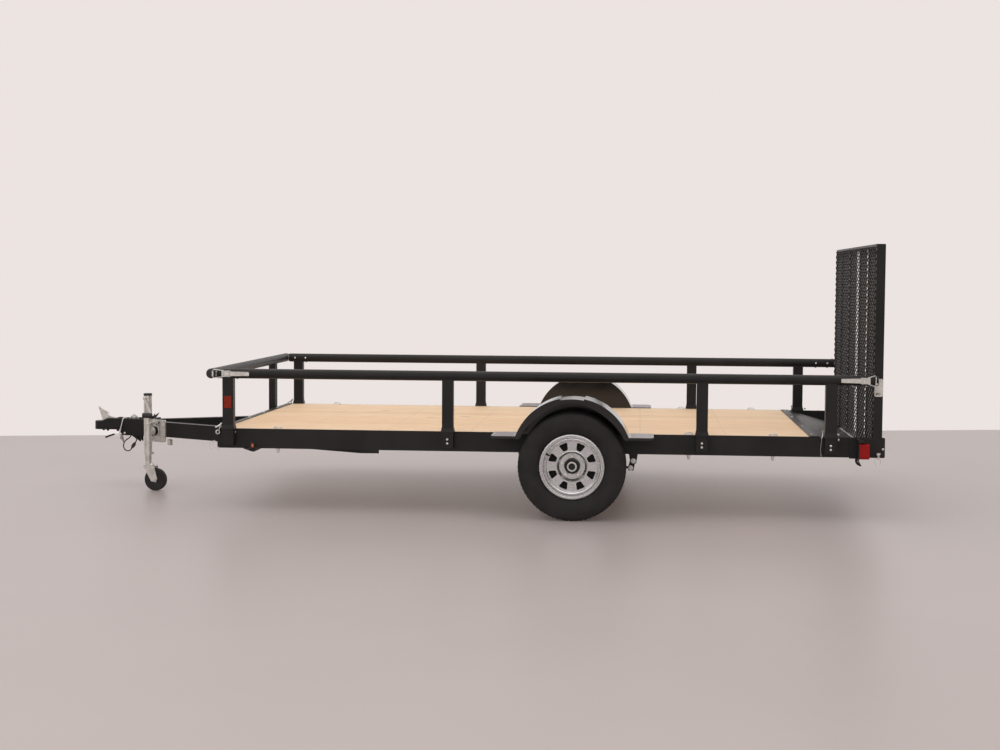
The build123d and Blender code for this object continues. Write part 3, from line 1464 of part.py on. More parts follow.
# The caster trails behind the leg, turned a little towards the left.
trail_dir = Vector(cos(radians(caster_swivel)), -sin(radians(caster_swivel)), 0)
trail_side = Vector(trail_dir.Y, -trail_dir.X, 0)
caster_centre = Vector(jack_axis.X, jack_axis.Y, caster_r) + trail_dir * caster_trail
caster_plane = Plane(origin=(jack_axis.X, jack_axis.Y, 0), x_dir=trail_dir, z_dir=trail_side)
print("caster axle", tuple(caster_centre), tuple(trail_side))
cheek_in = caster_width / 2 + caster_hub_gap
with BuildPart() as caster_fork:
    with BuildSketch(Plane(origin=(jack_axis.X, jack_axis.Y, fork_top_z), x_dir=trail_dir, z_dir=(0, 0, 1))):
        with Locations((fork_top_length / 2 - fork_top_lead, 0)):
            RectangleRounded(fork_top_length, 2 * (cheek_in + fork_plate), fork_corner_r)
    extrude(amount=fork_plate)
    for cheek in (-cheek_in - fork_plate, cheek_in):
        with BuildSketch(caster_plane.offset(cheek)):
            with BuildLine():
                Polyline(
                    (-jack_leg_r, fork_top_z),
                    (fork_top_length - jack_leg_r - fork_shoulder_back, fork_top_z),
                    (caster_trail + fork_foot_r, caster_r + fork_shoulder_back),
                    (caster_trail + fork_foot_r / 2, caster_r - fork_foot_r * 0.8),
                    (caster_trail - fork_foot_r, caster_r - fork_foot_r / 2),
                    close=True,
                )
            make_face()
        extrude(amount=fork_plate)
    with BuildSketch(caster_plane.offset(-cheek_in - fork_plate - fork_bolt_end)):
        with Locations((caster_trail, caster_r)):
            Circle(caster_axle_r)
    extrude(amount=2 * (cheek_in + fork_plate + fork_bolt_end))
caster_fork.part.label = "caster_fork"
export_step(caster_fork.part, "parts/caster_fork.step")

with BuildPart() as caster_wheel:
    with BuildSketch(caster_plane.offset(-caster_width / 2)):
        with Locations((caster_trail, caster_r)):
            Circle(caster_r)
    extrude(amount=caster_width)
    fillet(caster_wheel.edges(), radius=caster_edge_r)
    with BuildSketch(caster_plane.offset(-cheek_in + touch_gap)):
        with Locations((caster_trail, caster_r)):
            Circle(2 * caster_axle_r)
    extrude(amount=2 * (cheek_in - touch_gap))
    with BuildSketch(caster_plane.offset(-cheek_in)):
        with Locations((caster_trail, caster_r)):
            Circle(caster_axle_r + spindle_running_gap)
    extrude(amount=2 * cheek_in, mode=Mode.SUBTRACT)
caster_wheel.part.label = "caster_wheel"
export_step(caster_wheel.part, "parts/caster_wheel.step")
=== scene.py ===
import json
from math import atan2, cos, hypot, pi, radians, sin, tan

import bmesh
import bpy
from mathutils import Matrix, Vector


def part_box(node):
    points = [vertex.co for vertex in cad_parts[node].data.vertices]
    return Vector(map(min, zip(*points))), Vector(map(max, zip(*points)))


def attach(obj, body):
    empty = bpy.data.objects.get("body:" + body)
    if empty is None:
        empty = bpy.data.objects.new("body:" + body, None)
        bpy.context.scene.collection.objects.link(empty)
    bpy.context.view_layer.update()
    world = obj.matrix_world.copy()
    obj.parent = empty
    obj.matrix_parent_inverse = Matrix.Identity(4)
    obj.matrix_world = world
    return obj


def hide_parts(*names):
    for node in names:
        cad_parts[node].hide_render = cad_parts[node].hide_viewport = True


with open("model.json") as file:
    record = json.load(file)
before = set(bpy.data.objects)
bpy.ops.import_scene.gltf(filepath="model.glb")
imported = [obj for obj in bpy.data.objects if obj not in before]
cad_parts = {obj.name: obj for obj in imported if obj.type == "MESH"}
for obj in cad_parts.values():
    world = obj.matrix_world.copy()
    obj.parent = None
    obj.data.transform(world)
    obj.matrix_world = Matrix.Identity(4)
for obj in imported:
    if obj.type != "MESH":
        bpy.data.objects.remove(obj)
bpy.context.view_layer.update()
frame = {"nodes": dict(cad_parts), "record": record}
nodes = frame["nodes"]
scene = bpy.context.scene

# ---- places, from the frame


def low_high(node):
    """The corners of a CAD node's box, in millimetres."""
    low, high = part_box(node)
    return low * 1000, high * 1000


def mm(x, y, z):
    """A point or step given in millimetres."""
    return Vector((x, y, z)) / 1000


rail_low, rail_high = low_high("side_rail_left")
SIDE_Y, DECK_Z = -rail_low.y, rail_high.z
deck_low, deck_high = low_high("deck_planks")
top_low, top_high = low_high("top_rail_left")
TOP_RAIL_Y, TOP_RAIL_Z = -(top_low.y + top_high.y) / 2, (top_low.z + top_high.z) / 2
TOP_RAIL_R = (top_high.z - top_low.z) / 2
POST_FACE_Y = -low_high("side_posts_left")[0].y
tyre_low, tyre_high = low_high("tyre_left")
WHEEL_X, WHEEL_Y, WHEEL_Z = (tyre_low + tyre_high) / 2
TYRE_R, TYRE_HALF = (tyre_high.z - tyre_low.z) / 2, (tyre_high.y - tyre_low.y) / 2
coupler_low, coupler_high = low_high("coupler")
NOSE_X, COUPLER_TOP_Z, COUPLER_Y = coupler_low.x, coupler_high.z, -42
gate_low, gate_high = low_high("gate_frame")
mesh_low, mesh_high = low_high("gate_mesh")
tube_low, tube_high = low_high("jack_tube")
JACK_X, JACK_Y = (tube_low.x + tube_high.x) / 2, (tube_low.y + tube_high.y) / 2
SIDES = ((-1, "left"), (1, "right"))
OUT_LEFT = Vector((0, -1, 0))
UP = Vector((0, 0, 1))

def new_object(name, data):
    made = bpy.data.objects.new(name, data)
    scene.collection.objects.link(made)
    return made


# ---- material helpers


def new_material(name, base, roughness, metallic=0.0):
    """An empty Principled material with its main numbers set."""
    material = bpy.data.materials.new(name)
    material.use_nodes = True
    shader = material.node_tree.nodes["Principled BSDF"]
    shader.inputs["Base Color"].default_value = (*base, 1)
    shader.inputs["Roughness"].default_value = roughness
    shader.inputs["Metallic"].default_value = metallic
    return material, material.node_tree, shader


def give(tree, socket, value):
    """Links another socket to an input, or sets the input to a value."""
    if isinstance(value, bpy.types.NodeSocket):
        tree.links.new(value, socket)
    else:
        socket.default_value = value


def add_node(tree, kind, *inputs, **settings):
    """A shader node. Values or sockets go to its inputs in turn or by name; other names are its settings."""
    node = tree.nodes.new("ShaderNode" + kind)
    for key, value in settings.items():
        if key in node.inputs:
            give(tree, node.inputs[key], value)
        else:
            setattr(node, key, value)
    for socket, value in zip(node.inputs, inputs):
        give(tree, socket, value)
    return node


def calc(tree, operation, *values):
    return add_node(tree, "Math", *values, operation=operation).outputs[0]


def object_coords(tree, scale=(1, 1, 1)):
    """Object coordinates stretched by a scale on each axis."""
    coords = add_node(tree, "TexCoord").outputs["Object"]
    return add_node(tree, "Mapping", coords, Scale=scale).outputs["Vector"]


def noise(tree, vector, scale, detail=3.0, roughness=0.5):
    return add_node(tree, "TexNoise", vector, Scale=scale, Detail=detail, Roughness=roughness).outputs["Fac"]


def ramp(tree, factor, low, high, colours):
    """Maps a factor between low and high to evenly spaced colours."""
    node = add_node(tree, "ValToRGB", factor)
    elements = node.color_ramp.elements
    while len(elements) < len(colours):
        elements.new(0.5)
    for index, colour in enumerate(colours):
        elements[index].position = low + (high - low) * index / (len(colours) - 1)
        elements[index].color = (*colour, 1)
    return node.outputs["Color"]


def spread(tree, factor, low, high, from_low=0.3, from_high=0.7):
    """Maps a factor, by default that of a noise, to a range of values."""
    return add_node(tree, "MapRange", factor, from_low, from_high, low, high).outputs["Result"]


def mixed(tree, blend, share, first, second):
    return add_node(tree, "Mix", data_type="RGBA", blend_type=blend, Factor=share, A=first,
                    B=second).outputs["Result"]


def bump(tree, shader, height, strength, distance):
    node = add_node(tree, "Bump", Strength=strength, Distance=distance, Height=height)
    give(tree, shader.inputs["Normal"], node.outputs["Normal"])


def scaled(colour, gain, lift=0.0):
    """A colour with its channels scaled and lifted, up to 1."""
    return tuple(min(1.0, channel * gain + lift) for channel in colour)


def paint(tree, shader, colour, roughness=None):
    give(tree, shader.inputs["Base Color"], colour)
    if roughness:
        give(tree, shader.inputs["Roughness"], roughness)


# ---- materials


def coated_steel(name, base, rough_low, rough_high, peel_scale, peel, specular=0.5, metallic=0.0,
                 mottle=0.25):
    """Paint or powder coat: slight mottling, orange peel and uneven gloss."""
    material, tree, shader = new_material(name, base, rough_low, metallic)
    shader.inputs["Specular IOR Level"].default_value = specular
    coords = object_coords(tree)
    cloud = noise(tree, coords, 5.0, 4.0)
    streak = noise(tree, object_coords(tree, (6, 6, 30)), 4.0, 4.0)
    colours = scaled(base, 1 - mottle), base, scaled(base, 1 + mottle)
    paint(tree, shader, ramp(tree, cloud, 0.3, 0.7, colours), spread(tree, streak, rough_low, rough_high))
    bump(tree, shader, noise(tree, coords, peel_scale, 2.0), peel, 0.0006)
    return material


def plated_steel(name, base, rough_low, rough_high, metallic=1.0):
    """Zinc plating: a metal with faint cloudy spangle and fine scratches."""
    material, tree, shader = new_material(name, base, rough_low, metallic)
    coords = object_coords(tree)
    spangle = add_node(tree, "TexVoronoi", coords, Scale=90.0).outputs["Distance"]
    cloud = calc(tree, "MULTIPLY_ADD", spangle, 0.35, noise(tree, coords, 18.0, 4.0))
    scratch = noise(tree, object_coords(tree, (40, 40, 600)), 3.0, 3.0)
    paint(tree, shader, ramp(tree, cloud, 0.4, 0.9, (scaled(base, 0.78), base, scaled(base, 1.15))),
          spread(tree, scratch, rough_low, rough_high))
    bump(tree, shader, noise(tree, coords, 260.0, 3.0), 0.12, 0.0004)
    return material


def rubber(name, base, roughness, grain_scale, grain, dusting=1.7):
    material, tree, shader = new_material(name, base, roughness)
    shader.inputs["Specular IOR Level"].default_value = 0.25
    coords = object_coords(tree)
    dust = noise(tree, coords, 14.0, 5.0, 0.6)
    paint(tree, shader, ramp(tree, dust, 0.35, 0.75, (base, scaled(base, dusting, 0.003))),
          spread(tree, dust, roughness - 0.06, roughness + 0.1))
    bump(tree, shader, noise(tree, coords, grain_scale, 3.0), grain, 0.0005)
    return material


def moulded(name, base, roughness, texture_scale, texture):
    """Moulded plastic with a fine texture and faint flow marks."""
    material, tree, shader = new_material(name, base, roughness)
    coords = object_coords(tree)
    flow = noise(tree, coords, 7.0, 3.0)
    paint(tree, shader, ramp(tree, flow, 0.3, 0.7, (base, scaled(base, 1.5, 0.001))),
          spread(tree, flow, roughness * 0.8, roughness * 1.3))
    bump(tree, shader, noise(tree, coords, texture_scale, 2.0), texture, 0.0005)
    return material


def pine(name):
    """Pale pine boards: every board has its own shade, grain along its length, and knots."""
    material, tree, shader = new_material(name, (0.80, 0.60, 0.40), 0.6)
    coords = add_node(tree, "TexCoord").outputs["Object"]
    across = add_node(tree, "SeparateXYZ", coords).outputs["Y"]
    pitch = (deck_high.y - deck_low.y + BOARD_GAP) / 1000 / BOARD_COUNT
    board = calc(tree, "FLOOR", calc(tree, "DIVIDE", calc(tree, "ADD", across, -deck_low.y / 1000), pitch))
    shade = add_node(tree, "TexWhiteNoise", noise_dimensions="1D", W=board)
    # each board takes its grain from another part of the noise
    offset = add_node(tree, "VectorMath", shade.outputs["Color"], operation="SCALE", Scale=7.0)
    shifted = add_node(tree, "VectorMath", coords, offset.outputs["Vector"], operation="ADD")

    def stretched(scale):
        return add_node(tree, "Mapping", shifted.outputs["Vector"], Scale=scale).outputs["Vector"]

    warp = noise(tree, stretched((0.55, 9.0, 9.0)), 1.6, 3.0)
    rings = calc(tree, "FRACT", calc(tree, "MULTIPLY", warp, 11.0))
    fibre = noise(tree, stretched((1.2, 160.0, 160.0)), 2.0, 4.0, 0.6)
    grain = ramp(tree, rings, 0.0, 1.0, (PINE_LIGHT, PINE_LIGHT, PINE_MIDDLE, PINE_DARK, PINE_LIGHT))
    tint = ramp(tree, shade.outputs["Value"], 0.0, 1.0, PINE_TINTS)
    wood = mixed(tree, "MIX", 0.55, grain, tint)
    wood = mixed(tree, "MULTIPLY", 0.4, wood, ramp(tree, fibre, 0.3, 0.7, ((0.82, 0.74, 0.64), (1, 1, 1))))
    # knots: small dark ovals here and there
    cells = add_node(tree, "TexVoronoi", stretched((1.6, 4.5, 4.5)), Scale=1.0).outputs["Distance"]
    knots = ramp(tree, cells, 0.045, 0.075, ((1, 1, 1), (0, 0, 0)))
    paint(tree, shader, mixed(tree, "MIX", knots, wood, (*KNOT_COLOUR, 1)))
    bump(tree, shader, fibre, 0.35, 0.0008)
    return material


def lens(name, base, pitch, pale_gain=1.7):
    """Coloured lamp plastic with a moulded prism pattern under a clear gloss."""
    material, tree, shader = new_material(name, base, 0.2)
    shader.inputs["Specular IOR Level"].default_value = 0.2
    cells = add_node(tree, "TexVoronoi", object_coords(tree), Scale=1 / pitch, feature="F1",
                     distance="CHEBYCHEV", Randomness=0.0).outputs["Distance"]
    colours = scaled(base, pale_gain, 0.004), base, scaled(base, 0.55)
    paint(tree, shader, ramp(tree, cells, 0.1, 0.6, colours))
    bump(tree, shader, cells, 0.5, 0.001)
    return material


BOARD_COUNT, BOARD_GAP = 10, 1.5
KNOT_COLOUR = (0.34, 0.19, 0.10)
PINE_LIGHT, PINE_MIDDLE, PINE_DARK = (0.95, 0.69, 0.44), (0.85, 0.58, 0.345), (0.65, 0.41, 0.22)
PINE_TINTS = ((0.92, 0.64, 0.39), (0.97, 0.74, 0.49), (0.83, 0.56, 0.325))

MATERIALS = {
    "black_steel": coated_steel("powder_coat_black", (0.0095, 0.0082, 0.0080), 0.36, 0.48, 700.0, 0.10, 0.25),
    "spring_steel": coated_steel("spring_paint_black", (0.012, 0.011, 0.010), 0.45, 0.6, 400.0, 0.25, 0.25),
    "zinc": plated_steel("zinc_plate", (0.66, 0.64, 0.60), 0.30, 0.48, 0.85),
    "rim_silver": coated_steel("wheel_silver", (0.60, 0.60, 0.60), 0.20, 0.30, 900.0, 0.03, 0.5, 0.95, 0.04),
    "tyre_rubber": rubber("tyre_rubber", (0.0085, 0.0075, 0.0073), 0.66, 500.0, 0.2),
    "fender_plastic": moulded("fender_plastic", (0.006, 0.0055, 0.0055), 0.10, 900.0, 0.02),
    "black_plastic": moulded("black_plastic", (0.008, 0.0078, 0.0078), 0.45, 600.0, 0.15),
    "black_rubber": rubber("black_rubber", (0.010, 0.0095, 0.0095), 0.55, 400.0, 0.2),
    "deck_pine": pine("deck_pine"),
    "amber_lens": lens("amber_lens", (0.26, 0.045, 0.010), 0.004),
    "red_lens": lens("red_lens", (0.20, 0.0015, 0.0015), 0.008, 1.2),
    # painted shade: the side reflectors' amber, darker than the lamps' lens, as they look in shade
    "side_reflector_shaded": lens("side_reflector_shaded", (0.17, 0.011, 0.003), 0.003, 1.3),
    # painted sheen: grey for the reflection on the glossy black pads, with dust
    "pad_painted_sheen": rubber("pad_painted_sheen", (0.34, 0.31, 0.32), 0.6, 900.0, 0.8, 1.4),
    "dull_steel": plated_steel("dull_steel", (0.34, 0.33, 0.32), 0.4, 0.6),
    # painted highlight: a pale amber for the bright spot in the middle of each marker lens
    "marker_highlight": lens("marker_highlight", (0.50, 0.24, 0.14), 0.002, 1.1),
}

# ---- finish of the carried-over pieces

EDGE_WIDTHS = {"black_steel": 1.6, "zinc": 1.0, "fender_plastic": 3.0, "deck_pine": 2.5, "rim_silver": 1.2,
               "black_plastic": 1.5, "amber_lens": 1.5, "red_lens": 4.0}
# the side reflectors take a darker amber of painted shade
OTHER_MATERIALS = {"reflectors": "side_reflector_shaded"}
slot_of = {row["node"]: row["material_slot"] for row in frame["record"]["subparts"]}


def ease_edges(made, width):
    """Rounds the sharp edges of an object by a width in millimetres."""
    edges = made.modifiers.new("eased edges", "BEVEL")
    edges.width = width / 1000
    edges.segments = 2
    edges.limit_method = "ANGLE"
    edges.angle_limit = radians(50)
    edges.harden_normals = True


def finish_node(name):
    carried = nodes[name]
    carried.data.materials.clear()
    carried.data.materials.append(MATERIALS[OTHER_MATERIALS.get(name, slot_of[name])])
    if slot_of[name] in EDGE_WIDTHS:
        ease_edges(carried, EDGE_WIDTHS[slot_of[name]])


for node_name in nodes:
    finish_node(node_name)

# ---- shapes of the dressed pieces


def smooth_line(points, steps=6):
    """Points of a smooth line that passes through the given ones."""
    points = [Vector(point) for point in points]
    run = [points[0] * 2 - points[1], *points, points[-1] * 2 - points[-2]]
    line = []
    for a, b, c, d in zip(run, run[1:], run[2:], run[3:]):
        for step in range(steps):
            t = step / steps
            line.append((b * 2 + (c - a) * t + (a * 2 - b * 5 + c * 4 - d) * t ** 2
                         + (b * 3 - a - c * 3 + d) * t ** 3) / 2)
    return [*line, points[-1]]


def around(axis, count):
    """Unit vectors around an axis, evenly turned."""
    side = Vector(axis).orthogonal().normalized()
    across = Vector(axis).normalized().cross(side)
    return [side * cos(2 * pi * k / count) + across * sin(2 * pi * k / count) for k in range(count)]


def circle(place, axis, radius, count=24):
    return [place + out * radius / 1000 for out in around(axis, count)]


class Shape:
    """The mesh of one visible piece, gathered part by part. Places and vectors are in metres, since they come
    from mm(), and radii, heights and profiles are in millimetres."""

    def __init__(self):
        self.points, self.faces = [], []

    def add(self, points, faces):
        first = len(self.points)
        self.points += [Vector(point) for point in points]
        self.faces += [[first + index for index in face] for face in faces]
        return self

    def prism(self, outline, depth):
        """A flat outline carried along a vector."""
        count = len(outline)
        walls = [(k, (k + 1) % count, (k + 1) % count + count, k + count) for k in range(count)]
        return self.add([*outline, *(Vector(point) + depth for point in outline)],
                        [range(count), range(2 * count - 1, count - 1, -1), *walls])

    def box(self, low, high):
        """A box between two corners given in millimetres."""
        low, high = mm(*low), mm(*high)
        corners = [Vector((x, y, low.z)) for x, y in
                   ((low.x, low.y), (high.x, low.y), (high.x, high.y), (low.x, high.y))]
        return self.prism(corners, Vector((0, 0, high.z - low.z)))

    def bar(self, start, end, across, thick):
        """A straight bar between two points; across and thick are its half sizes as vectors."""
        return self.prism([start - across - thick, start + across - thick, start + across + thick,
                           start - across + thick], end - start)

    def wire(self, route, radius, sides=8, closed=False):
        """A round wire along a route; radius is one value, or one for each point."""
        count = len(route)
        radii = radius if hasattr(radius, "__len__") else [radius] * count
        points, side = [], None
        for k, point in enumerate(route):
            before = route[k - 1] if closed or k else point
            after = route[(k + 1) % count] if closed or k < count - 1 else point
            along = (after - before).normalized()
            side = along.orthogonal() if side is None else side - along * side.dot(along)
            side.normalize()
            across = along.cross(side)
            for m in range(sides):
                turn = 2 * pi * m / sides
                points.append(point + (side * cos(turn) + across * sin(turn)) * radii[k] / 1000)
        faces = []
        for k in range(count if closed else count - 1):
            here, there = k * sides, (k + 1) % count * sides
            faces += [(here + m, here + (m + 1) % sides, there + (m + 1) % sides, there + m)
                      for m in range(sides)]
        if not closed:
            faces += [range(sides - 1, -1, -1), range((count - 1) * sides, count * sides)]
        return self.add(points, faces)

    def bent(self, places, steps, radius, sides=8):
        """A round wire that runs smoothly through places given in millimetres."""
        return self.wire(smooth_line([mm(*place) for place in places], steps), radius, sides)

    def turned(self, profile, place, axis, sides=24):
        """A profile of (radius, height) points turned about an axis."""
        axis = Vector(axis).normalized()
        count, points, faces = len(profile), [], []
        for k, out in enumerate(around(axis, sides)):
            points += [place + (out * radius + axis * height) / 1000 for radius, height in profile]
            here, there = k * count, (k + 1) % sides * count
            faces += [(here + m, here + m + 1, there + m + 1, there + m) for m in range(count - 1)]
        return self.add(points, faces)

    def ring(self, profile, place, axis, sides):
        """As turned, with the profile closed."""
        return self.turned([*profile, profile[0]], place, axis, sides)

    def dome(self, place, axis, radius, height, sides=16):
        """A low round head, as on a carriage bolt."""
        edge = [(radius * cos(radians(angle)), height * (0.25 + 0.75 * sin(radians(angle))))
                for angle in (0, 20, 40, 60, 80)]
        return self.turned([(0, 0), (radius, 0), *edge, (0, height)], place, axis, sides)

    def hexagon(self, place, axis, across_flats, height, washer=1.3):
        """A hexagon head or nut on its washer."""
        corner = across_flats / 2 / cos(radians(30))
        seat = 0.15 * height if washer else 0
        if washer:
            self.turned([(0, 0), (corner * washer, 0), (corner * washer, seat), (0, seat)], place, axis, 20)
        axis = Vector(axis).normalized()
        head = [(0, 0), (corner, 0), (corner, 0.8 * height), (0.85 * corner, height), (0, height)]
        return self.turned(head, place + axis * seat / 1000, axis, 6)

    def join(self, other):
        return self.add(other.points, other.faces)

    def mirrored(self):
        """Adds the same again on the other side of the trailer."""
        return self.add([Vector((p.x, -p.y, p.z)) for p in self.points], [face[::-1] for face in self.faces])


SAME_POINT = 1e-6


def piece(name, shape, material, body="frame", replaced=(), sharp=32, edges=0.0):
    """Makes one visible piece from a shape, joins it to its body and hides the CAD nodes it replaces."""
    mesh = bpy.data.meshes.new(name)
    mesh.from_pydata([tuple(point) for point in shape.points], [], [list(face) for face in shape.faces])
    work = bmesh.new()
    work.from_mesh(mesh)
    bmesh.ops.remove_doubles(work, verts=work.verts, dist=SAME_POINT)
    bmesh.ops.recalc_face_normals(work, faces=work.faces)
    work.to_mesh(mesh)
    work.free()
    mesh.polygons.foreach_set("use_smooth", [True] * len(mesh.polygons))
    mesh.set_sharp_from_angle(angle=radians(sharp))
    mesh.materials.append(MATERIALS[material])
    made = new_object(name, mesh)
    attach(made, body)
    for node in replaced:
        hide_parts(node)
    if edges:
        ease_edges(made, edges)
    return made


# ---- wheels


def arc_through(start, middle, end, count):
    """Points on the arc from start over middle to end, in a plane."""
    (ax, ay), (bx, by), (cx, cy) = start, middle, end
    twice = 2 * (ax * (by - cy) + bx * (cy - ay) + cx * (ay - by))
    centre_x = ((ax ** 2 + ay ** 2) * (by - cy) + (bx ** 2 + by ** 2) * (cy - ay)
                + (cx ** 2 + cy ** 2) * (ay - by)) / twice
    centre_y = ((ax ** 2 + ay ** 2) * (cx - bx) + (bx ** 2 + by ** 2) * (ax - cx)
                + (cx ** 2 + cy ** 2) * (bx - ax)) / twice
    radius = hypot(ax - centre_x, ay - centre_y)
    first, last = atan2(ay - centre_y, ax - centre_x), atan2(cy - centre_y, cx - centre_x)
    turns = [first + (last - first) * k / (count - 1) for k in range(count)]
    return [(centre_x + radius * cos(turn), centre_y + radius * sin(turn)) for turn in turns]


BEAD_HALF, BEAD_R, SHOULDER_HALF, SHOULDER_DROP = 57, 184, 77.5, 9
GROOVES = (-46, -15.5, 15.5, 46)
GROOVE_DEPTH, GROOVE_HALF = 8, 4
SIDEWALL_RIBS = ((192, 4, 1.2), (206, 2, 0.7), (256, 2.5, 0.8), (262, 2.5, 0.8), (279, 3, 1.0))
SHOULDER_LUGS, NOTCH_DEPTH = 72, 4.5


def tyre_shape(centre):
    """A tyre with sidewall ribs, four tread grooves and notched shoulders."""
    wall = arc_through((BEAD_HALF, BEAD_R), (TYRE_HALF, (BEAD_R + TYRE_R) / 2),
                       (SHOULDER_HALF, TYRE_R - SHOULDER_DROP), 44)
    ribbed = []
    for across, radius in wall:
        rise = sum(height * max(0, 1 - abs(radius - at) / half) for at, half, height in SIDEWALL_RIBS)
        ribbed.append((radius, min(TYRE_HALF, across + rise - 0.6)))
    tread = []
    for groove in reversed(GROOVES):
        tread += [(TYRE_R, groove + GROOVE_HALF), (TYRE_R - GROOVE_DEPTH, groove + GROOVE_HALF - 1),
                  (TYRE_R - GROOVE_DEPTH, groove - GROOVE_HALF + 1), (TYRE_R, groove - GROOVE_HALF)]
    edge = SHOULDER_HALF - SHOULDER_DROP
    half = [(BEAD_R - 14, BEAD_HALF), *ribbed]
    profile = [*half, (TYRE_R, edge), *tread, (TYRE_R, -edge),
               *[(radius, -across) for radius, across in reversed(half)], half[0]]
    shape = Shape()
    shape.turned(profile, centre, OUT_LEFT, 2 * SHOULDER_LUGS)
    # notches between the shoulder lugs
    first_ribs = len(half)
    lowered = {first_ribs, first_ribs + len(tread) + 1}
    for index, point in enumerate(shape.points):
        if index % len(profile) in lowered and index // len(profile) % 2:
            away = point - centre
            away.y = 0
            shape.points[index] = point - away.normalized() * NOTCH_DEPTH / 1000
    return shape


NUT_COUNT, NUT_CIRCLE_R, DISC_FACE = 5, 57.15, 12
VALVE_ANGLE = radians(154)
# outline of the well's steps: (radius, height over the wheel's middle plane)
RIM_STEPS = ((180.5, 62.0), (179.5, 64.5), (175.5, 66.0), (170.5, 65.0), (168.0, 61.0), (166.0, 55.0),
             (162.5, 52.5), (161.0, 46.0), (158.5, 46.0), (157.5, 51.0), (153.5, 51.5), (152.2, 49.5),
             (150.8, 51.0), (146.0, 50.0), (144.0, 45.0), (143.0, 33.0), (141.0, 32.1), (143.5, 31.0),
             (163.0, 31.0), (180.0, 61.9))

DISH_EDGE = ((88, 31), (86.5, 34.5), (84, 35), (81.5, 32), (80, 25), (81, 24))
# painted shade: thin dark rings at the bottom of the rim's groove and at the foot of the dish's edge
RIM_GROOVE_SHADE = ((((161.5, 46), (161.5, 47.2), (158, 47.2), (158, 46)), 96),
               (((82.5, 24), (81.8, 26), (79.4, 20), (80, 19)), 72))
# painted shade: a dark disc behind the wheel's windows, where there is no drum, and a dark ring round the hub's
# face
HUB_PAINTED_SHADE = ((((40, -30), (136, -30), (140, -34), (140, -58), (134, -58), (134, -36), (40, -36)), 64),
            (((40.5, 12.1), (44.5, 12.1), (43.5, 16), (40.5, 18)), 48))
CAP_RING = ((27.5, 45.6), (27.5, 49.5), (25.5, 51.5), (20.5, 51.5), (18.5, 48), (18.5, 45.6))
HUB_PLUG = ((0, 45.8), (18.4, 45.8), (18.4, 50.5), (17, 51.8), (8, 52.6), (6, 51.6), (0, 51.6))
NUT = ((0, 0), (11.5, 0), (10.5, 3), (10.5, 15.5), (9, 18), (0, 18.5))

for side_sign, side in SIDES:
    wheel_body = f"wheel_{side}"
    outward = Vector((0, side_sign, 0))
    centre = mm(WHEEL_X, side_sign * abs(WHEEL_Y), WHEEL_Z)

    def rings(*profiles):
        """Closed rings about the wheel's axis, from their profiles and numbers of sides."""
        shape = Shape()
        for profile, sides in profiles:
            shape.ring(profile, centre, outward, sides)
        return shape

    piece(f"tyre_{side}_treaded", tyre_shape(centre), "tyre_rubber", wheel_body, (f"tyre_{side}",), 40)
    piece(f"rim_steps_{side}", rings((RIM_STEPS, 96), (DISH_EDGE, 72)), "rim_silver", wheel_body)
    # dark rings of painted shade in the rim's grooves
    piece(f"rim_groove_shade_{side}", rings(*RIM_GROOVE_SHADE), "dull_steel", wheel_body)
    nuts = Shape()
    for nut in range(NUT_COUNT):
        angle = radians(90 + 360 / NUT_COUNT * nut)
        seat = centre + mm(NUT_CIRCLE_R * cos(angle), side_sign * DISC_FACE, NUT_CIRCLE_R * sin(angle))
        nuts.turned(NUT, seat, outward, 6)
    piece(f"wheel_nuts_{side}", nuts, "zinc", wheel_body)
    # painted shade behind the rim's windows and round the hub
    piece(f"hub_painted_shade_{side}", rings(*HUB_PAINTED_SHADE), "spring_steel", wheel_body)
    piece(f"hub_cap_ring_{side}", rings((CAP_RING, 40)), "zinc", wheel_body)
    plug = Shape()
    plug.turned(HUB_PLUG, centre, outward, 32)
    valve_way = Vector((cos(VALVE_ANGLE), 0, sin(VALVE_ANGLE)))
    valve_foot, valve_tip = (centre + (valve_way * radius + outward * height) / 1000
                             for radius, height in ((157.5, 47), (139, 64)))
    plug.wire([valve_foot, valve_foot.lerp(valve_tip, 0.7), valve_tip], [6.2, 4.5, 4.5], 10)
    piece(f"hub_plug_and_valve_{side}", plug, "black_rubber", wheel_body)

# ---- expanded mesh of the gate

MESH_LONG, MESH_SHORT = 78.0, 36.0
STRAND_WIDTH, STRAND_THICKNESS, STRAND_TILT = 5.6, 2.0, radians(46)


def expanded_mesh():
    """Diamonds of raised strands, one sheet's width to each side of the middle."""
    shape = Shape()
    middle_x = (mesh_low.x + mesh_high.x) / 2 - 0.6
    rows = int((mesh_high.z - mesh_low.z) / (MESH_SHORT / 2))
    columns = int(mesh_high.y / (MESH_LONG / 2))
    step_y = mesh_high.y / columns
    step_z = (mesh_high.z - mesh_low.z) / rows
    for row in range(rows):
        for column in range(-columns, columns):
            rising = (row + column) % 2 == 0
            z_here, z_next = (row, row + 1) if rising else (row + 1, row)
            start = mm(middle_x, column * step_y, mesh_low.z + z_here * step_z)
            end = mm(middle_x, (column + 1) * step_y, mesh_low.z + z_next * step_z)
            along = (end - start).normalized()
            in_plane = Vector((1, 0, 0)).cross(along)
            if in_plane.z < 0:
                in_plane = -in_plane
            broad = Vector((-sin(STRAND_TILT), 0, 0)) + in_plane * cos(STRAND_TILT)
            thin = along.cross(broad)
            shape.bar(start, end, broad * STRAND_WIDTH / 2000, thin * STRAND_THICKNESS / 2000)
    return shape


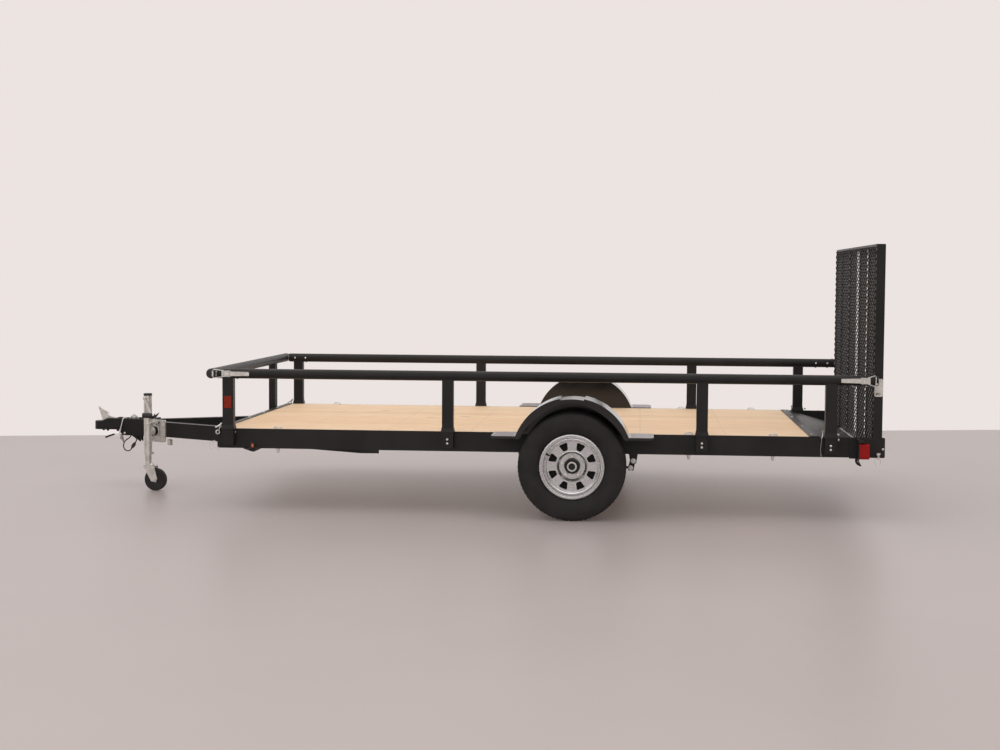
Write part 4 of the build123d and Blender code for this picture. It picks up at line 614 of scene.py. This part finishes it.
welded = Shape()
TUBE_WIDTH, BAR_HALF, TOP_HEIGHT, FOOT_HEIGHT = 38, 11, 26, 40
BAR_DEPTHS = {-590: 48, -225: 44, 225: 44, 590: 44}
for y in (-gate_high.y, gate_high.y - TUBE_WIDTH):
    welded.box((gate_low.x, y, gate_low.z), (gate_high.x, y + TUBE_WIDTH, gate_high.z - 2))
inner_y = gate_high.y - TUBE_WIDTH
for low_z, high_z in ((gate_low.z, gate_low.z + FOOT_HEIGHT), (gate_high.z - TOP_HEIGHT, gate_high.z)):
    welded.box((gate_low.x, -inner_y, low_z), (gate_high.x, inner_y, high_z))
for y, depth in BAR_DEPTHS.items():
    welded.box((gate_low.x, y - BAR_HALF, gate_low.z + FOOT_HEIGHT),
               (gate_low.x + depth, y + BAR_HALF, gate_high.z - TOP_HEIGHT))
piece("gate_welded_frame", welded, "black_steel", "gate", ("gate_frame",), edges=2.5)
beads = Shape()
WELD_R = 2.6
# beads at the corners, by their points' heights from where the bars meet
FOOT_BEAD, TOP_BEAD = (-2, -12, -24, -36), (2, 8, 14, 21)
bar_ends = (gate_low.z + FOOT_HEIGHT, gate_high.z - TOP_HEIGHT)
for y in (-inner_y, inner_y):
    for height, rises in zip(bar_ends, (FOOT_BEAD, TOP_BEAD)):
        beads.wire([mm(gate_high.x - WELD_R, y, height + rise) for rise in rises], WELD_R)
for y, depth in BAR_DEPTHS.items():
    for height in bar_ends:
        beads.wire([mm(gate_low.x + depth, y - BAR_HALF, height),
                    mm(gate_low.x + depth, y + BAR_HALF, height)], 1.5, 8)
piece("gate_weld_beads", beads, "black_steel", "gate")
piece("gate_expanded_mesh", expanded_mesh(), "black_steel", "gate", ("gate_mesh",), 30)

# ---- toggle latches of the railing


TOGGLE_Y, TIP_HALF, ROOT_HALF, WAIST_HALF, TOGGLE_RIBS = -966, 11, 15, 13, 7


def toggle(tip_x, root_x, hook_x, bail_half):
    """A ribbed lever from its tip to its root, and the bail from the root to its hook."""
    shape = Shape()
    way = 1 if root_x > tip_x else -1
    waist_x = root_x - way * 48

    def at(x, out, rise):
        """A point of the toggle: along the trailer, out from the rail's face, and above the rail's middle."""
        return mm(x, TOGGLE_Y - out, TOP_RAIL_Z + rise)

    def band(from_x, to_x, from_half, to_half, out):
        shape.prism([at(from_x, out, -from_half), at(to_x, out, -to_half), at(to_x, out, to_half),
                     at(from_x, out, from_half)], mm(0, -2.5, 0))

    band(tip_x, waist_x, TIP_HALF, WAIST_HALF, 5)
    band(waist_x, root_x, WAIST_HALF, ROOT_HALF, 3)
    for edge in (-1, 1):
        # turned-up edges of the lever
        shape.prism([at(tip_x, 5, edge * TIP_HALF), at(waist_x, 5, edge * WAIST_HALF),
                     at(waist_x, 11, edge * WAIST_HALF), at(tip_x, 9, edge * TIP_HALF)], mm(0, 0, -edge * 2))
        # cheeks at the pivot
        shape.prism([at(waist_x, 0, edge * ROOT_HALF), at(root_x, 0, edge * ROOT_HALF),
                     at(root_x, 10, edge * ROOT_HALF), at(waist_x, 12, edge * ROOT_HALF)],
                    mm(0, 0, edge * 2.5))
    # cross ribs pressed into the lever, and the shackle's rivets
    for rib in range(TOGGLE_RIBS):
        share = (rib + 0.8) / (TOGGLE_RIBS + 0.6)
        rib_x = tip_x + (waist_x - tip_x) * share
        half = TIP_HALF + (WAIST_HALF - TIP_HALF) * share - 2.5
        shape.bar(at(rib_x, 8, -half), at(rib_x, 8, half), mm(2.2, 0, 0), mm(0, 1.2, 0))
    eye_x = root_x - way * 8
    for rivet_x in (waist_x + way * 8, eye_x):
        shape.wire([at(rivet_x, 7, -ROOT_HALF - 4), at(rivet_x, 7, ROOT_HALF + 4)], 3.5)
    shape.box((min(waist_x, root_x) - 4, TOGGLE_Y - 1.5, TOP_RAIL_Z - ROOT_HALF),
              (max(waist_x, root_x) + 4, TOGGLE_Y + 1, TOP_RAIL_Z + ROOT_HALF))
    # bail, wider at the hook
    shape.wire([at(eye_x, 7, ROOT_HALF + 3), at(hook_x - way * 6, 8, bail_half), at(hook_x, 8, bail_half - 6),
                at(hook_x, 8, 6 - bail_half), at(hook_x - way * 6, 8, -bail_half),
                at(eye_x, 7, -ROOT_HALF - 3)], 2.4)
    return shape


latches = toggle(tip_x=-1176, root_x=-1334, hook_x=-1388, bail_half=24)
latches.join(toggle(tip_x=2175, root_x=2331, hook_x=2364, bail_half=29))
# hook plate on the front rail's end
latches.box((-1399, -967.5, TOP_RAIL_Z - 13), (-1380, -965, TOP_RAIL_Z + 15))
latches.prism([mm(-1393, -967, TOP_RAIL_Z + 14), mm(-1384, -967, TOP_RAIL_Z + 14),
               mm(-1384, -967, TOP_RAIL_Z - 20), mm(-1393, -967, TOP_RAIL_Z - 16)], mm(0, -8, 0))
latches.box((-1374, -962, TOP_RAIL_Z - 12), (-1368, -912, TOP_RAIL_Z + 14))
piece("railing_toggles", latches.mirrored(), "zinc", "frame", ("railing_latches",), 30)

# ---- bolts, caps and small parts of the frame

bright = Shape()
for post_x, heights in ((-29, (426, 403)), (1411, (425, 403)), (2125, (422, 400))):
    for height in heights:
        bright.dome(mm(post_x, -POST_FACE_Y, height), OUT_LEFT, 7, 6)
for x, height in ((2172, 480), (2172, 452), (2418, 403), (-1274, 447)):
    bright.dome(mm(x, -SIDE_Y if height < DECK_Z else -905, height), OUT_LEFT, 6.5, 5)
# rail tubes are pinned to their ends from inside
for x in (-1326, -1252, 2242, 2318):
    bright.dome(mm(x, TOP_RAIL_R - TOP_RAIL_Y, TOP_RAIL_Z), (0, 1, 0), 6.5, 5)
    bright.dome(mm(x, -TOP_RAIL_Y, TOP_RAIL_Z - TOP_RAIL_R), (0, 0, -1), 6.5, 5)
bright = bright.mirrored()
for y in (348, -298, -790, 790):
    bright.dome(mm(2034, y, 470), UP, 8, 4)
for y in (-610, -230, 150, 530):
    bright.dome(mm(-1362, y, 472), UP, 8, 4)
piece("frame_bolts", bright, "zinc")

screws = Shape()
board_pitch = (deck_high.y - deck_low.y + BOARD_GAP) / BOARD_COUNT
SCREW_LINES, SCREW_EDGE = 8, 18
for line in range(SCREW_LINES):
    screw_x = deck_low.x + SCREW_EDGE + line * (deck_high.x - deck_low.x - 2 * SCREW_EDGE) / (SCREW_LINES - 1)
    for board in range(BOARD_COUNT):
        for share in (0.25, 0.75):
            screws.turned([(0, 0), (4.6, 0), (4, 0.7), (0, 0.4)],
                          mm(screw_x, deck_low.y + (board + share) * board_pitch, DECK_Z), UP, 8)
piece("deck_screws", screws, "dull_steel")

END_CAP = [(0, -4), (26.2, -4), (27, 0), (27.2, 2), (24, 4.5), (12, 6), (0, 6.3)]
caps = Shape()
for end_x, way in ((top_low.x, -1), (top_high.x, 1)):
    caps.turned(END_CAP, mm(end_x, -TOP_RAIL_Y, TOP_RAIL_Z), (way, 0, 0), 32)
front_rail_low, front_rail_high = low_high("front_rail")
caps.turned(END_CAP, mm((front_rail_low.x + front_rail_high.x) / 2, front_rail_low.y, TOP_RAIL_Z), OUT_LEFT,
            32)
piece("railing_end_caps", caps.mirrored(), "black_plastic")

gate_caps = Shape()
for y in (-gate_high.y + 19, gate_high.y - 19):
    gate_caps.box((gate_low.x + 2, y - 17, gate_high.z - 2), (gate_high.x - 2, y + 17, gate_high.z))
piece("gate_end_caps", gate_caps, "black_plastic", "gate", edges=0.8)

catch = Shape()
catch_low, catch_high = low_high("gate_catches")
catch.turned([(0, 0), (13, 0), (13, 9), (11.5, 11), (0, 11)],
             mm(catch_low.x + 15, catch_low.y, catch_low.z + 12), OUT_LEFT, 24)
catch.box((catch_low.x + 2, catch_low.y - 11, catch_low.z + 10),
          (catch_low.x + 28, catch_low.y, catch_high.z - 18))
catch.hexagon(mm(catch_low.x + 15, catch_low.y - 11, catch_low.z + 12), OUT_LEFT, 11, 4, 0)
catch.prism([mm(2362, -962, TOP_RAIL_Z + 16), mm(2376, -962, TOP_RAIL_Z + 12),
             mm(2376, -962, TOP_RAIL_Z - 22), mm(2362, -962, TOP_RAIL_Z - 18)], mm(0, 58, 0))
piece("gate_catch_hooks", catch.mirrored(), "zinc", "gate", edges=0.8)

# ---- coupler

dark = Shape()
# pin head, flange lumps and clamp edges on the near side
dark.box((-2268, -30, 435), (-2240, -8, 443))
dark.dome(mm(-2207, -22, 435), UP, 10, 8)
for x, height in ((-2359, 362), (-2332, 360), (-2267, 358)):
    dark.dome(mm(x, -46, height + 8), (0, 0, -1), 9, 13)
for x in (-2176, -2060):
    edge_y = COUPLER_Y - 30 * (x + 2249) / 220
    dark.box((x, edge_y - 6, 352), (x + 9, edge_y + 4, 438))
for x in (-2117, -2098, -2040):
    dark.hexagon(mm(x, -50 if x < -2060 else -60, COUPLER_TOP_Z), UP, 16, 9)
# clip lever under the mouth, with its rubber sleeve
dark.bent([(-2345, -56, 314), (-2318, -56, 325), (-2286, -56, 336)], 4, 5.8, 10)
piece("coupler_hardware", dark, "black_steel", edges=0.8)

clip = Shape()
clip.bent([(-2230, -20, 440), (-2233, -44, 432), (-2239, -51, 402), (-2247, -54, 368), (-2251, -55, 340)], 5,
          4.2, 10)
clip.wire([mm(-2288, -56, 336), mm(-2252, -56, 339), mm(-2240, -56, 336)], 4.5, 10)
clip.turned([(0, 0), (9, 0), (9, 6), (0, 7)], mm(-2250, -50, 339), OUT_LEFT, 16)
clip.dome(mm(-2221, -49, 343), OUT_LEFT, 7.5, 7)
piece("coupler_clip", clip, "zinc")

chain_hook = Shape()
chain_hook.bent([(-2241, -55, 338), (-2236, -55, 318), (-2229, -55, 296), (-2221, -55, 274)], 5,
                [7.5 - 0.2 * k for k in range(16)], 10)
chain_hook.wire(circle(mm(-2238, -55, 312), OUT_LEFT, 9, 20), 3.2, 8, True)
chain_hook.dome(mm(-2164, -30, COUPLER_TOP_Z - 1), UP, 23.5, 24, 28)
chain_hook.dome(mm(-2164, -30, COUPLER_TOP_Z + 22), UP, 8, 4)
piece("coupler_adjuster_and_hook", chain_hook, "dull_steel")

# latch: ribbed thumb edge and its pivot pins
latch = Shape()
for share in range(6):
    at = share / 5
    latch.bar(mm(-2384 + 40 * at, -8.5, 489 - 21 * at), mm(-2384 + 40 * at, 8.5, 489 - 21 * at),
              mm(3.2, 0, 1), mm(-1, 0, 3.6))
latch.wire([mm(-2352, -14, 437), mm(-2352, 14, 437)], 6, 12)
latch.wire([mm(-2335, -16, 428), mm(-2335, 16, 428)], 5.5, 12)
latch.dome(mm(-2352, -14, 437), OUT_LEFT, 8.5, 3)
piece("coupler_latch_grip", latch, "zinc")

# ---- jack

joints = {joint["name"]: joint for joint in frame["record"]["behaviour"]["joints"]}


def joint_line(name):
    """The place and direction of a joint's axis."""
    return Vector(joints[name]["pos_m"]), Vector(joints[name]["axis"]).normalized()


PIVOT, LEG_OUT = joint_line("jack_swing")
LEG_BACK = LEG_OUT.cross(UP) if LEG_OUT.cross(UP).x > 0 else UP.cross(LEG_OUT)


def on_leg(back, out, rise):
    """A point beside the tongue leg: millimetres behind, out from and above the jack's pivot."""
    return PIVOT + (LEG_BACK * back + LEG_OUT * out + UP * rise) / 1000


TUBE = mm(JACK_X, JACK_Y, 0)
bracket = Shape()
# raised ribs of the plate, its rim and the flange around the pivot
for back in (-34, 76):
    bracket.bar(on_leg(back, 8, -62), on_leg(back, 8, 62), LEG_BACK * 0.0035, LEG_OUT * 0.004)
for rise in (-64, 64):
    bracket.bar(on_leg(-36, 8, rise), on_leg(78, 8, rise), UP * 0.003, LEG_OUT * 0.005)
bracket.ring([(29.5, 6), (34.5, 6), (34.5, 15), (32, 18), (29.5, 18)], PIVOT, LEG_OUT, 36)
for back, rise in ((68, 37), (68, -26), (-24, 50), (-24, -50)):
    bracket.hexagon(on_leg(back, 8, rise), LEG_OUT, 13, 7)
# lugs and nuts below the leg
for back, low, high in ((2, -72, -58), (42, -72, -58)):
    bracket.bar(on_leg(back, 2, low), on_leg(back, 2, high), LEG_BACK * 0.009, LEG_OUT * 0.011)
bracket.bar(on_leg(94, -20, -88), on_leg(94, -20, -52), LEG_BACK * 0.011, LEG_OUT * 0.011)
piece("jack_bracket_ribs", bracket, "zinc", edges=0.8)

pivot_shade = Shape()
# painted shade: a dark inner ring and a dark disc in the pivot's opening, and painted shadows of the bolts
pivot_shade.ring([(28.5, 9), (29.2, 9), (29.2, 20.5), (21.5, 22.5), (21.5, 9)], PIVOT, LEG_OUT, 36)
pivot_shade.turned([(0, 40.2), (26.5, 40.2), (27.5, 41.2), (26.5, 42.2), (0, 42.2)], PIVOT, LEG_OUT, 36)
pivot_shade.ring([(28.1, 20), (29.2, 20), (29.2, 40), (28.1, 40)], PIVOT, LEG_OUT, 36)
pivot_shade.wire(smooth_line([on_leg(14, 16, 36), on_leg(24, 18, 44), on_leg(34, 18, 50), on_leg(40, 16, 58)], 4),
            4.2, 8)
piece("jack_pivot_painted_shade", pivot_shade, "black_steel")

rod = Shape()
rod.wire(smooth_line([TUBE + mm(-16, -27, 370), TUBE + mm(-14, -31, 398), TUBE + mm(4, -33, 420),
                      TUBE + mm(24, -27, 431), TUBE + mm(44, -4, 424), TUBE + mm(50, 16, 412)], 6), 4, 10)
rod.hexagon(TUBE + mm(-16, -24, 366), OUT_LEFT, 12, 6)
# clamp bands around the tube
for height, half in ((436, 5), (338, 4)):
    rod.ring([(25.6, -half), (28.5, -half), (28.5, half), (25.6, half)], TUBE + mm(0, 0, height), UP, 36)
rod.bar(TUBE + mm(20, -14, 436), TUBE + mm(40, -8, 436), Vector((0, 0.003, 0)), Vector((0, 0, 0.007)))
# swaged foot ring of the tube
rod.ring([(25.6, 0), (27.2, 1), (27.2, 7), (25.6, 8)], TUBE + mm(0, 0, 229), UP, 36)
# crank hub on the tube's side
CRANK_X, CRANK_Z = -2026.5, 582
rod.turned([(0, 0), (12.5, 0), (12.5, 12), (10, 14), (0, 14)], mm(CRANK_X, JACK_Y - 22, CRANK_Z), OUT_LEFT,
           20)
rod.hexagon(mm(CRANK_X, -247, CRANK_Z), OUT_LEFT, 13, 6)
piece("jack_release_rod", rod, "zinc", "jack")

strap = Shape()
STRAP_RADII = [9, 9.2, 9.2, 9, 8.8, 8.6, 8.4, 8.2, 8, 7.6, 7, 6.4, 5.6, 4.6, 3.6, 2.6, 1.4]
STRAP_END_RADII = [6, 5.8, 5.4, 5, 4.4, 3.8, 3, 2.2, 1.4]
strap.bent([(-1992, -221, 459), (-1978, -223, 463), (-1965, -224, 468), (-1953, -224, 478), (-1940, -224, 492)],
           4, STRAP_RADII, 10)
strap.bent([(-1972, -223, 466), (-1970, -224, 476), (-1966, -224, 486)], 4, STRAP_END_RADII)
piece("jack_strap", strap, "black_plastic", "jack")

grip_low, grip_high = low_high("crank_grip")
grip_mid = (grip_low + grip_high) / 2
grip_rings = Shape()
for share in (-0.8, -0.5, 0.5, 0.8):
    reach = (grip_high.x - grip_low.x) / 2 * share
    grip_rings.wire(circle(mm(grip_mid.x + reach, grip_mid.y, grip_mid.z), (1, 0, 0), 15.8, 28), 1.2, 6, True)
grip_rings.dome(mm(grip_low.x + 1, grip_mid.y, grip_mid.z), (-1, 0, 0), 8, 4)
piece("crank_grip_rings", grip_rings, "black_plastic", "jack")

FORK_FACE = 29
fork = Shape()
CASTER, CASTER_AXIS = joint_line("caster_spin")
fork_top_z = low_high("caster_fork")[1].z
fork.turned([(0, 0), (26, 0), (26, 4), (22.5, 8), (21, 11), (0, 11)], mm(JACK_X, JACK_Y, fork_top_z), UP, 32)
for way in (-1, 1):
    fork.hexagon(CASTER + CASTER_AXIS * way * FORK_FACE / 1000, CASTER_AXIS * way, 16, 7)
piece("caster_fork_hardware", fork, "zinc", "caster_fork")

tread = Shape()
tread.ring([(69.6, -14.5), (69.9, -13), (69.9, 13), (69.6, 14.5), (68, 14.5), (68, -14.5)], CASTER,
           CASTER_AXIS, 56)
for way in (-1, 1):
    tread.ring([(52, way * 18.5), (50, way * 20), (30, way * 20), (28, way * 18.5)], CASTER, CASTER_AXIS, 48)
piece("caster_wheel_rings", tread, "black_rubber", "caster_wheel")

# ---- wiring loop under the coupler

WIRE_Y = -40
WIRE_TO_PLUG = ((250, 332.5), (238, 312), (214, 299), (196.5, 277), (196, 251), (207, 233), (225, 226),
                (241, 232), (251, 247))
PLUG_TURN = atan2(15, 10)
PLUG_LENGTH = 40
PLUG_END = (251 + PLUG_LENGTH * cos(PLUG_TURN), 247 + PLUG_LENGTH * sin(PLUG_TURN))
WIRE_FROM_PLUG = (PLUG_END, (PLUG_END[0] + 8, PLUG_END[1] + 8 * tan(PLUG_TURN)),
                  (PLUG_END[0] + 11, PLUG_END[1] + 33), (PLUG_END[0] + 11.5, 332.5))
route = [mm(NOSE_X + back, WIRE_Y, height) for back, height in (*WIRE_TO_PLUG, *WIRE_FROM_PLUG)]
line = bpy.data.curves.new("wiring_line", "CURVE")
line.dimensions = "3D"
line.bevel_depth = 0.0035
line.bevel_resolution = 4
line.resolution_u = 8
line.use_fill_caps = True
spline = line.splines.new("NURBS")
spline.points.add(len(route) - 1)
for point, place in zip(spline.points, route):
    point.co = (*place, 1)
spline.order_u = 3
spline.use_endpoint_u = True
line.materials.append(MATERIALS["black_rubber"])
cable = new_object("wiring_loop", line)
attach(cable, "frame")
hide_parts("wiring_cable")

plug_along = Vector((cos(PLUG_TURN), 0, sin(PLUG_TURN)))
plug_across = Vector((-sin(PLUG_TURN), 0, cos(PLUG_TURN)))
plug_foot, thick = mm(NOSE_X + 251, WIRE_Y, 247), Vector((0, 1, 0))
plug_shape = Shape()
for start, end, half, deep in ((0, 9, 7, 5), (9, 33, 10, 6), (33, 40, 6.5, 4.8)):
    plug_shape.bar(plug_foot + plug_along * start / 1000, plug_foot + plug_along * end / 1000,
                   plug_across * half / 1000, thick * deep / 1000)
for at in (13, 17, 21, 25, 29):
    plug_shape.bar(plug_foot + plug_along * at / 1000, plug_foot + plug_along * (at + 1.6) / 1000,
                   plug_across * 0.0104, thick * 0.0065)
plug = piece("wiring_plug_body", plug_shape, "black_plastic", "frame", ("wiring_plug",), edges=1)

# ---- corners: pins, rings and lanyards

corner = Shape()
corner.wire(circle(mm(-1371, -932, 447), (0.5, -1, 0.3), 10.5, 20), 3.4, 8, True)
corner.bent([(-1350, -932, 496), (-1359, -934, 487), (-1374, -934, 479), (-1384, -932, 474)], 4, 5.2, 10)
corner.bent([(-1352, -932, 486), (-1361, -933, 470), (-1364, -933, 458)], 4, 3, 8)
corner.dome(mm(-1350, -932, 497), UP, 7.5, 4)
# spring clips through the gate's hinge pins
corner.bent([(2402, -925, 381), (2397, -927, 372), (2390, -928, 362), (2387, -928, 352)], 4, 3.4, 8)
corner.bent([(2394, -925, 381), (2389, -927, 370), (2396, -928, 361), (2388, -928, 352)], 4, 3, 8)
piece("corner_pins", corner.mirrored(), "zinc")

lanyard = Shape()
for loop in (((-1392, 398), (-1415, 384), (-1419, 356), (-1401, 336), (-1381, 334), (-1362, 348)),
             ((-1390, 396), (-1404, 382), (-1399, 362), (-1384, 354), (-1366, 360))):
    lanyard.bent([(x, -925, height) for x, height in loop], 7, 1.6, 6)
lanyard.wire(circle(mm(2387, -928, 334), (0.1, -1, 0), 16.5, 30), 2.1, 6, True)
lanyard.bent([(2088, -909, 505), (2084, -917, 488), (2079, -919, 452), (2074, -918, 400), (2078, -917, 352)],
             6, 1.2, 6)
lanyard.bent([(2082, -917, 500), (2086, -920, 480), (2078, -920, 458)], 5, 3, 8)
piece("pin_lanyards", lanyard.mirrored(), "zinc")

hooks = Shape()
# small spring hooks by the first posts, and the lamp wires' sleeved ends
hooks.bent([(-1262, -917, 455), (-1268, -917, 468), (-1279, -917, 474), (-1284, -917, 466)], 5, 4, 8)
hooks.bent([(2268, -930, 356), (2269, -930, 338), (2278, -930, 322), (2298, -930, 309)], 5,
           [4.5, 4.8, 5, 5.3, 5.6, 6, 6.4, 6.8, 7, 7, 6.8, 6.6, 6, 5, 4, 3], 10)
hooks.bent([(2271, -928, 350), (2283, -928, 334), (2291, -928, 318), (2296, -929, 312)], 5, 3, 8)
piece("wire_sleeves", hooks.mirrored(), "black_rubber")

# ---- lights

lamps = Shape()
marker_x, marker_z = -1169, 371
# four walls around the lens: low x and z, then high x and z, from the lens's middle
LENS_WALLS = ((-15, -17, 15, -11.6), (-15, 11.6, 15, 22), (-15, -12, -7.6, 12), (7.6, -12, 15, 12))
for low_x, low_z, high_x, high_z in LENS_WALLS:
    lamps.box((marker_x + low_x, -SIDE_Y - 7, marker_z + low_z),
              (marker_x + high_x, -SIDE_Y, marker_z + high_z))
lamps.prism([mm(marker_x - 46, -SIDE_Y - 1, 354), mm(marker_x - 8, -SIDE_Y - 1, 340),
             mm(marker_x + 8, -SIDE_Y - 1, 340), mm(marker_x + 46, -SIDE_Y - 1, 354)], mm(0, -7, 0))
piece("marker_bodies", lamps.mirrored(), "black_rubber", edges=1.5)
# painted highlight: a small pale dome in the middle of each marker lens
highlight_dome = Shape()
highlight_dome.dome(mm(marker_x, -SIDE_Y - 9.6, marker_z), OUT_LEFT, 4.2, 2.2)
piece("marker_highlights", highlight_dome.mirrored(), "marker_highlight")

TAIL_LAMP_Y = -1007
lamp_trim = Shape()
lamp_trim.box((2280, TAIL_LAMP_Y - 1.5, 395), (2331, TAIL_LAMP_Y + 1, 398))
for x, height in ((2292, 430), (2292, 364)):
    lamp_trim.dome(mm(x, TAIL_LAMP_Y, height), OUT_LEFT, 3.5, 2)
piece("tail_lamp_trim", lamp_trim.mirrored(), "red_lens")

lip = Shape()
lip.box((2344, -850, 388.5), (2357, 440, 396.5))
piece("tail_lip_strip", lip, "zinc", edges=0.6)

# tie-down rings: a low loop on a plate, and the bolt that holds it under the rail
anchors = Shape()
anchor_foot_z = low_high("tie_down_anchors")[0].z
for anchor_x in (-1025, 1340, 1811):
    anchors.box((anchor_x - 22, -905, DECK_Z), (anchor_x + 22, -884, DECK_Z + 2.5))
    loop = [mm(anchor_x - 22, -894, 472), mm(anchor_x - 18, -897, 477), mm(anchor_x - 8, -901, 479.5),
            mm(anchor_x + 8, -901, 479.5), mm(anchor_x + 18, -897, 477), mm(anchor_x + 22, -894, 472)]
    anchors.wire(smooth_line(loop, 4), 3.4, 8)
    anchors.turned([(0, 28), (10.5, 28), (10.5, 17), (7.5, 16), (6.6, 4), (3, 0), (0, 0)],
                   mm(anchor_x, -894, anchor_foot_z), UP, 16)
piece("tie_down_rings", anchors.mirrored(), "zinc", "frame", ("tie_down_anchors",))

# ---- fender pads and underbody hardware

PAD_NEAR, PAD_FAR, PAD_TOP_Z, PAD_MARGIN = 318, 451, 472, 7
pads = Shape()
for way in (-1, 1):
    for rib in range(12):
        at = PAD_NEAR + PAD_MARGIN + (PAD_FAR - PAD_NEAR - 2 * PAD_MARGIN) * (rib + 0.5) / 12
        inset = max(0, at - (PAD_FAR - 28)) + 6
        low_x, high_x = sorted((WHEEL_X + way * (at - 3.9), WHEEL_X + way * (at + 3.9)))
        pads.box((low_x, -1180 + inset, PAD_TOP_Z - 0.5), (high_x, -926, PAD_TOP_Z + 1.0))
# grey ribs: painted sheen on the black pads
piece("fender_pad_ribs", pads.mirrored(), "pad_painted_sheen")

clamp_foot_z, hanger_face_y = low_high("axle_clamps")[0].z, low_high("spring_hangers")[0].y
under = Shape()
SPRING_Y, U_BOLT_X, U_BOLT_Y = 888, 36, 28.5
for x in (-U_BOLT_X, U_BOLT_X):
    for y in (-U_BOLT_Y, U_BOLT_Y):
        under.hexagon(mm(WHEEL_X + x, -SPRING_Y + y, clamp_foot_z), (0, 0, -1), 19, 11)
        under.turned([(0, 0), (6, 0), (6, 20), (0, 21)], mm(WHEEL_X + x, -SPRING_Y + y, clamp_foot_z),
                     (0, 0, -1), 12)
for x, height in ((399, 271.5), (1014, 277), (1028, 317)):
    under.hexagon(mm(x, hanger_face_y + 1, height), OUT_LEFT, 19, 9)
    under.hexagon(mm(x, -SPRING_Y + (-SPRING_Y - hanger_face_y) - 1, height), (0, 1, 0), 19, 11)
piece("suspension_bolts", under.mirrored(), "zinc")

# ---- floor, light and camera


def stage_plane(name, corners, colour):
    mesh = bpy.data.meshes.new(name)
    mesh.from_pydata(corners, [], [(0, 1, 2, 3)])
    plane = new_object(name, mesh)
    material, tree, shader = new_material(name, colour, 0.38)
    cloud = noise(tree, object_coords(tree), 0.8, 3.0)
    paint(tree, shader, ramp(tree, cloud, 0.3, 0.7, (colour, scaled(colour, 1.04))))
    shader.inputs["Specular IOR Level"].default_value = 0.3
    mesh.materials.append(material)
    return plane


# the floor ends where the photo's wall begins; past it the plain backdrop shows
FLOOR_END_LEFT, FLOOR_END_RIGHT = (-38.8, -4.5, 0), (38.8, 12.2, 0)
FLOOR_COLOUR = (0.485, 0.427, 0.416)
stage_plane("floor", [(-40, -30, 0), (40, -30, 0), FLOOR_END_RIGHT, FLOOR_END_LEFT], FLOOR_COLOUR)

world = bpy.data.worlds.new("studio")
world.use_nodes = True
scene.world = world
tree = world.node_tree
direction = add_node(tree, "TexCoord").outputs["Generated"]
parts = add_node(tree, "SeparateXYZ", direction)


def background(colour, strength):
    return add_node(tree, "Background", (*colour, 1), strength).outputs[0]


def blend(first, second, share):
    """The first value, passing to the second as the share rises from 0 to 1."""
    return calc(tree, "ADD", calc(tree, "MULTIPLY", first, calc(tree, "SUBTRACT", 1.0, share)),
                calc(tree, "MULTIPLY", share, second))


ROOM_COLOUR, WALL_COLOUR = (1.0, 0.955, 0.94), (0.84, 0.775, 0.755)
# soft light for matt surfaces: strongest low down, as from lit walls
low_light = spread(tree, parts.outputs["Z"], 3.6, 0.46, 0.10, 0.48)
# what shiny surfaces mirror: a bright wall behind the trailer, a dim room in front, a bright ceiling
wall_share = spread(tree, parts.outputs["Y"], 0.0, 1.0, -0.25, 0.45)
bands = spread(tree, noise(tree, direction, 2.6, 1.0), 0.06, 0.42)
ceiling_share = spread(tree, parts.outputs["Z"], 0.0, 1.0, 0.30, 0.75)
mirrored_light = blend(blend(bands, 0.85, wall_share), 1.2, ceiling_share)
path = add_node(tree, "LightPath")
surface = background(ROOM_COLOUR, low_light)
for share, other in ((path.outputs["Is Glossy Ray"], background(ROOM_COLOUR, mirrored_light)),
                     (path.outputs["Is Camera Ray"], background(WALL_COLOUR, 1.0))):
    surface = add_node(tree, "MixShader", share, surface, other).outputs[0]
tree.links.new(surface, tree.nodes["World Output"].inputs["Surface"])


def soft_lamp(name, place, aim, size, power):
    lamp = bpy.data.lights.new(name, "AREA")
    lamp.shape = "RECTANGLE"
    lamp.size, lamp.size_y = size
    lamp.energy = power
    lamp.color = (1.0, 0.965, 0.95)
    holder = new_object(name, lamp)
    holder.location = place
    holder.rotation_euler = (Vector(aim) - Vector(place)).to_track_quat("-Z", "Y").to_euler()


soft_lamp("overhead", (-0.6, -1.0, 5.5), (-0.3, 0.2, 0.0), (7.0, 4.0), 68)
soft_lamp("front_fill", (-1.0, -9.0, 2.6), (0.2, 0.0, 0.3), (9.0, 2.0), 110)

CAMERA_AT = Vector((1.0581, -9.8019, 1.3365))
CAMERA_YAW, CAMERA_PITCH, CAMERA_ROLL = radians(-5.092), radians(3.472), radians(0.347)
CAMERA_FOCAL_SHARE = 1.5691
level_ahead = Vector((sin(CAMERA_YAW), cos(CAMERA_YAW), 0))
level_right = Vector((cos(CAMERA_YAW), -sin(CAMERA_YAW), 0))
ahead = level_ahead * cos(CAMERA_PITCH) - Vector((0, 0, sin(CAMERA_PITCH)))
upward = level_ahead * sin(CAMERA_PITCH) + Vector((0, 0, cos(CAMERA_PITCH)))
right = level_right * cos(CAMERA_ROLL) + upward * sin(CAMERA_ROLL)
up = upward * cos(CAMERA_ROLL) - level_right * sin(CAMERA_ROLL)
camera_data = bpy.data.cameras.new("camera")
camera_data.sensor_width = 36.0
camera_data.lens = 36.0 * CAMERA_FOCAL_SHARE
camera_data.clip_end = 200
camera = new_object("camera", camera_data)
camera.matrix_world = Matrix.Translation(CAMERA_AT) @ Matrix((right, up, -ahead)).transposed().to_4x4()
scene.camera = camera

scene.view_settings.view_transform = "Standard"
